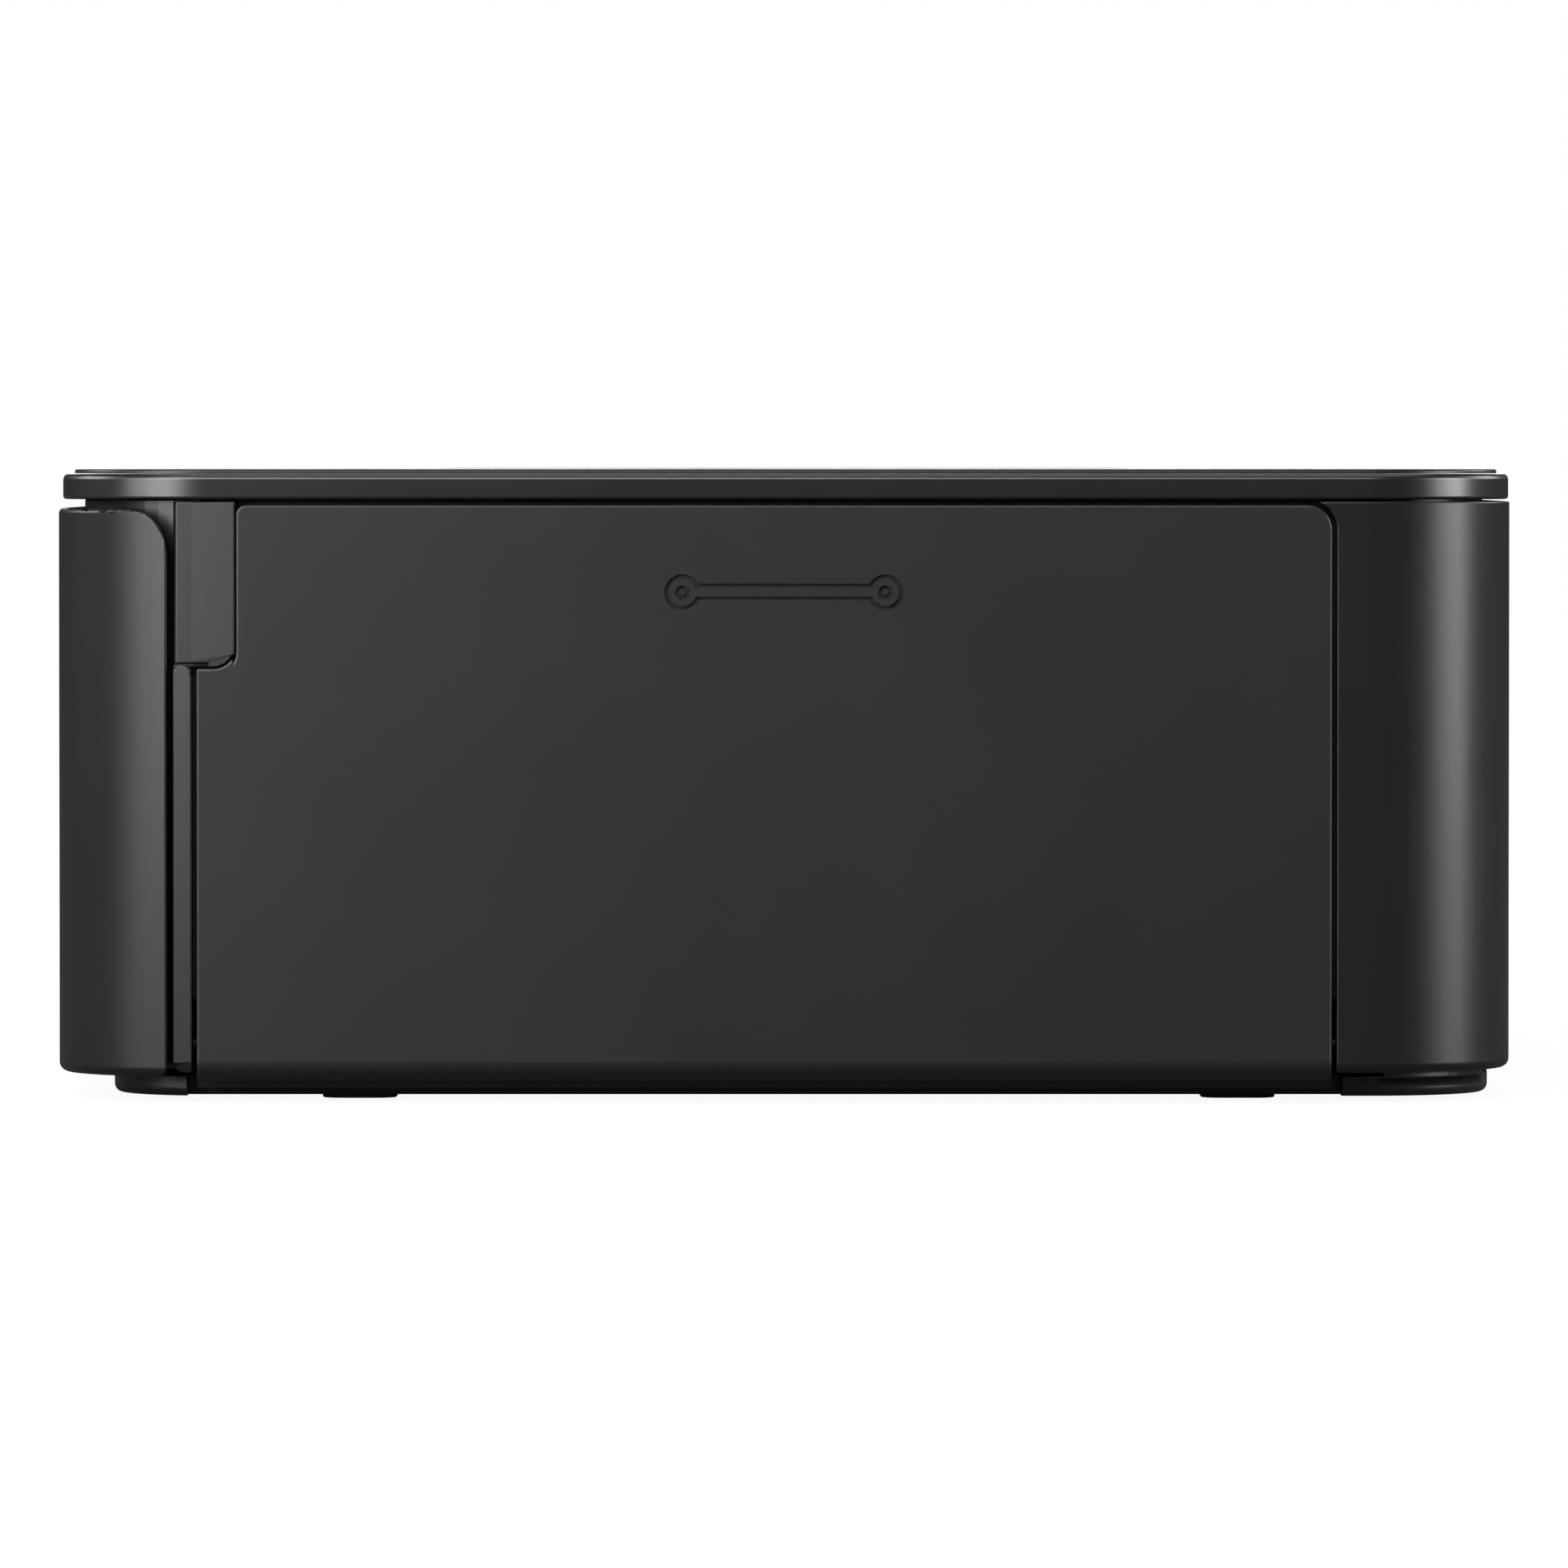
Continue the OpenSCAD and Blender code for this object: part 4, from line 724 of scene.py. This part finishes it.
def prism(path, width, low, high, closed=False, foot=None):
    """A closed prism over a stroke, from height low to high; foot is its width at low, if it differs."""
    top = rails(path, width, closed)
    bottom = rails(path, width if foot is None else foot, closed)
    n = len(top[0])
    points = np.concatenate([np.column_stack([rail, np.full(n, level)])
        for pair, level in ((top, high), (bottom, low)) for rail in pair])
    i = np.arange(n if closed else n - 1)
    j = (i + 1) % n
    left, right, left_low, right_low = (k * n for k in range(4))
    faces = [
        np.stack([right + i, right + j, left + j, left + i], -1),
        np.stack([left_low + i, left_low + j, right_low + j, right_low + i], -1),
        np.stack([left + i, left + j, left_low + j, left_low + i], -1),
        np.stack([right + j, right + i, right_low + i, right_low + j], -1),
    ]
    if not closed:
        e = n - 1
        faces.append(np.array([[right, left, left_low, right_low],
            [left + e, right + e, right_low + e, left_low + e]]))
    return points, np.concatenate(faces)


def join(parts):
    """Several (points, faces) put together as one pair of arrays."""
    starts = np.cumsum([0] + [len(points) for points, _ in parts[:-1]])
    return (np.concatenate([points for points, _ in parts]),
        np.concatenate([faces + start for (_, faces), start in zip(parts, starts)]))


def arc(centre, radius, start, end, count=24):
    """Points on a circle from start to end, in degrees."""
    turn = np.radians(np.linspace(start, end, count))
    return np.stack([centre[0] + radius * np.cos(turn), centre[1] + radius * np.sin(turn)], -1)


print("stroke tools ready")

# %% [markdown]
# ## Signs on the buttons
# The caps carry plain signs that any printer may have: a bar in an open ring for power, three arcs
# for wireless, three lines for the menu, a pencil stroke for editing, a bent arrow for going back,
# four small arrowheads on the steering ring and a picture frame for printing. They are printed ink,
# only a few hundredths of a millimetre thick. A stroke is a path, its width in millimetres and
# whether it closes.

# %% Button signs
INK = 0.03 * MM
BAR = 0.34
POINT = 0.05
OK_RING_R = 1.5
ring = OK_RING_R * arc((0, 0), 1.0, 0, 352.5, 48)
hook = np.concatenate([[(-1.2, 0.9)], arc((0.9, 0), 0.9, 90, -90, 16), [(-1.0, -0.9)]])
signs = {
    "power_button": [(arc((0, 0), 1.7, 125, 415, 40), BAR, False),
        ([(0, 0.5), (0, 2.2)], BAR, False)],
    "wireless_button": [(arc((0, -1.5), r, 50, 130), BAR, False) for r in (1.1, 2.1, 3.1)],
    "menu_button": [([(-1.6, y), (1.6, y)], BAR, False) for y in (-1.1, 0, 1.1)],
    "edit_button": [([(-1.0, -0.9), (1.3, 1.4)], 0.7, False),
        ([(-1.7, -1.6), (-1.2, -1.1)], [POINT, 0.6], False)],
    "back_button": [(hook, BAR, False), ([(-2.2, 0.9), (-1.25, 0.9)], [POINT, 1.5], False)],
    "print_button": [([(-2.6, -1.7), (2.6, -1.7), (2.6, 1.7), (-2.6, 1.7)], BAR, True),
        ([(-1.6, -0.9), (-0.4, 0.6), (0.4, -0.3), (0.9, 0.2), (1.7, -0.9)], BAR, False)],
    "ok_button": [(ring, BAR, True)],
    "nav_ring": [([(11.4 * c, 11.4 * s), (12.8 * c, 12.8 * s)], [2.2, POINT], False)
        for c, s in ((1, 0), (0, 1), (-1, 0), (0, -1))],
}
for node, strokes in signs.items():
    centre, _ = box_middle(node)
    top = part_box(node)[1][2]
    parts = [prism(np.asarray(path) * MM + centre, np.asarray(width) * MM,
        top - INK, top + INK, closed) for path, width, closed in strokes]
    sign = array_piece(node + "_sign", *join(parts))
    sign.data.materials.append(finishes["acetal_white"].material)
    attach(sign, body_of[node])
print("signs", len(signs))

# %% [markdown]
# ## The sign sunk into the side door
# A shallow sign in the middle of the door's upper part tells which side the ribbon cassette goes
# in. Here it is a plain drawing of that cassette: two spools, joined by the ribbon. The cutter is
# three closed strokes that reach four tenths of a millimetre deep, and a Boolean takes it out of
# the door after its edges are round.

# %% Sunk sign
SIGN_UP = 46.4
SPOOL_R = 1.45
SPOOL_OUT = 9.2
SIGN_LINE = 0.46
SIGN_FOOT = 0.36
SIGN_DEEP = 0.4 * MM
RIBBON_HALF = 0.6
HUB_R = 0.45
DOOR_TURN = 28

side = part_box("ink_door")[1][0]
neck = np.degrees(np.arcsin(RIBBON_HALF / SPOOL_R))
outline = np.concatenate([
    arc((SPOOL_OUT, SIGN_UP), SPOOL_R, -180 + neck, 180 - neck, 40),
    arc((-SPOOL_OUT, SIGN_UP), SPOOL_R, neck, 360 - neck, 40),
])
hubs = [arc((s * SPOOL_OUT, SIGN_UP), HUB_R, 0, 345, 24) for s in (-1, 1)]
cuts, cut_faces = join([prism(path * MM, SIGN_LINE * MM, side - SIGN_DEEP, side + SIGN_DEEP, True,
    foot=SIGN_FOOT * MM) for path in (outline, *hubs)])
cutter = array_piece("sign_cutter", cuts[:, [2, 0, 1]], cut_faces)
door = soft["ink_door"]
cut = door.modifiers.new("sunk_sign", "BOOLEAN")
cut.operation = "DIFFERENCE"
cut.solver = "EXACT"
cut.object = cutter
door.modifiers.remove(door.modifiers["even_normals"])
carved = bpy.data.meshes.new_from_object(door.evaluated_get(bpy.context.evaluated_depsgraph_get()))
door.modifiers.clear()
door.data = carved
door.data.materials.clear()
door.data.materials.append(finishes["door_black"].material)
bpy.data.objects.remove(cutter)
smooth(door, DOOR_TURN)
even(door)
print("door faces", len(door.data.polygons))

# %% [markdown]
# ## Floor and light
# The floor is a pale sheet that runs out to the horizon. Most of its white is shown to the camera
# only, and little to reflections, so the picture has a white ground while the printer's lower edges
# stay dark and it still casts its shadow. The sky behind it does the same. A white card stands far
# behind, and the grazing top surfaces mirror it.

# %% Floor and sky
FLOOR_PAINT = 0.10
FLOOR_GLOW = (0.93, 1.0)
FLOOR_NEAR = (0.20, 0.50)
FLOOR_Z = -0.05 * MM
MIRRORED = 0.03
SKY_LIGHT = 0.02
CARD_AWAY = 2.2
CARD_SIZE = (0.75, 0.42)
CARD_FOOT = 0.001
FLOOR_SPAN = 9.0


def shown(graph, straight, mirrored):
    """straight for rays from the camera, mirrored for rays off gloss or through glass, else 0."""
    glossy = graph.node("LightPath", output="Is Glossy Ray")
    through = graph.node("LightPath", output="Is Transmission Ray")
    return graph.node("LightPath", output="Is Camera Ray") * straight + (glossy + through) * mirrored


ground = bpy.data.materials.new("floor_white")
ground.use_nodes = True
g = Graph(ground.node_tree)
away = g.node("VectorMath", {0: g.node("TexCoord", output="Object")}, output="Value", operation="LENGTH")
far = g.node("MapRange", {"Value": away, "From Min": FLOOR_NEAR[0], "From Max": FLOOR_NEAR[1]})
tone = g.node("Mix", {0: far, 6: grey(FLOOR_GLOW[0]), 7: grey(FLOOR_GLOW[1])}, output=2,
    data_type="RGBA")
paint = g.node("BsdfDiffuse", {"Color": grey(FLOOR_PAINT)})
glow = g.node("Emission", {"Color": tone, "Strength": shown(g, 1.0, MIRRORED)})
g.node("OutputMaterial", {"Surface": g.node("AddShader", {0: paint, 1: glow})})

corners = [(-FLOOR_SPAN, -FLOOR_SPAN), (FLOOR_SPAN, -FLOOR_SPAN), (FLOOR_SPAN, FLOOR_SPAN),
    (-FLOOR_SPAN, FLOOR_SPAN)]
floor = array_piece("floor", [(x, y, FLOOR_Z) for x, y in corners], [(0, 1, 2, 3)])
floor.data.materials.append(ground)

white = bpy.data.materials.new("card_white")
white.use_nodes = True
c = Graph(white.node_tree)
card_glow = c.node("Emission", {"Color": grey(1.0), "Strength": shown(c, 1.0, 1.0)})
c.node("OutputMaterial", {"Surface": card_glow})
half_wide, card_top = CARD_SIZE[0] / 2, CARD_SIZE[1]
corners = [(-half_wide, CARD_FOOT), (half_wide, CARD_FOOT), (half_wide, card_top),
    (-half_wide, card_top)]
card = array_piece("card", [(-CARD_AWAY, y, z) for y, z in corners], [(0, 1, 2, 3)])
card.data.materials.append(white)

sky = bpy.data.worlds.new("studio")
sky.use_nodes = True
w = Graph(sky.node_tree)
back = w.node("Background", {"Color": grey(1.0), "Strength": shown(w, 1.0, MIRRORED) + SKY_LIGHT})
w.node("OutputWorld", {"Surface": back})
bpy.context.scene.world = sky
print("floor and sky ready")

# %% [markdown]
# ## Lamps
# Black plastic shows its form by the lamps that it mirrors. Two low lamps beside the near corner
# draw the soft bright band there, and two beside the far corner draw the narrower one. A wide lamp
# ahead and a large one above fill the flat door and the top, and three more light the sides that
# face away.

# %% Lamps
def soft_box(name, azimuth, height, distance, size, power, aim=(0.03, 0, 0.03)):
    """A rectangular lamp. Azimuth is measured from +X towards +Y, in degrees; it faces aim."""
    lamp = bpy.data.lights.new(name, "AREA")
    lamp.shape = "RECTANGLE"
    lamp.size, lamp.size_y = size
    lamp.energy = power
    made = bpy.data.objects.new(name, lamp)
    bpy.context.scene.collection.objects.link(made)
    turn = math.radians(azimuth)
    place = np.array([math.cos(turn) * distance, math.sin(turn) * distance, height])
    made.location = place
    towards = np.array(aim) - place
    heading = math.atan2(towards[1], towards[0])
    rise = math.asin(towards[2] / np.linalg.norm(towards))
    made.rotation_euler = (math.pi / 2 + rise, 0, heading - math.pi / 2)


soft_box("near_corner_wide", -52, 0.16, 0.60, (0.18, 0.30), 0.75)
soft_box("near_corner_close", -33, 0.12, 0.30, (0.10, 0.20), 0.40)
soft_box("far_corner", 58, 0.16, 0.60, (0.12, 0.30), 0.62)
soft_box("far_edge", 71, 0.16, 0.60, (0.14, 0.30), 1.35)
soft_box("front_fill", -8, 0.50, 0.85, (0.45, 0.25), 2.5)
soft_box("overhead", 0, 0.9, 0.05, (0.8, 0.8), 2.4)
soft_box("cover_side", -102, 0.40, 0.85, (0.55, 0.35), 3.2)
soft_box("hidden_side", 180, 0.40, 0.80, (0.50, 0.35), 3.0)
soft_box("hidden_rear", 112, 0.40, 0.85, (0.50, 0.35), 2.6)
bpy.context.scene.view_settings.view_transform = "Standard"
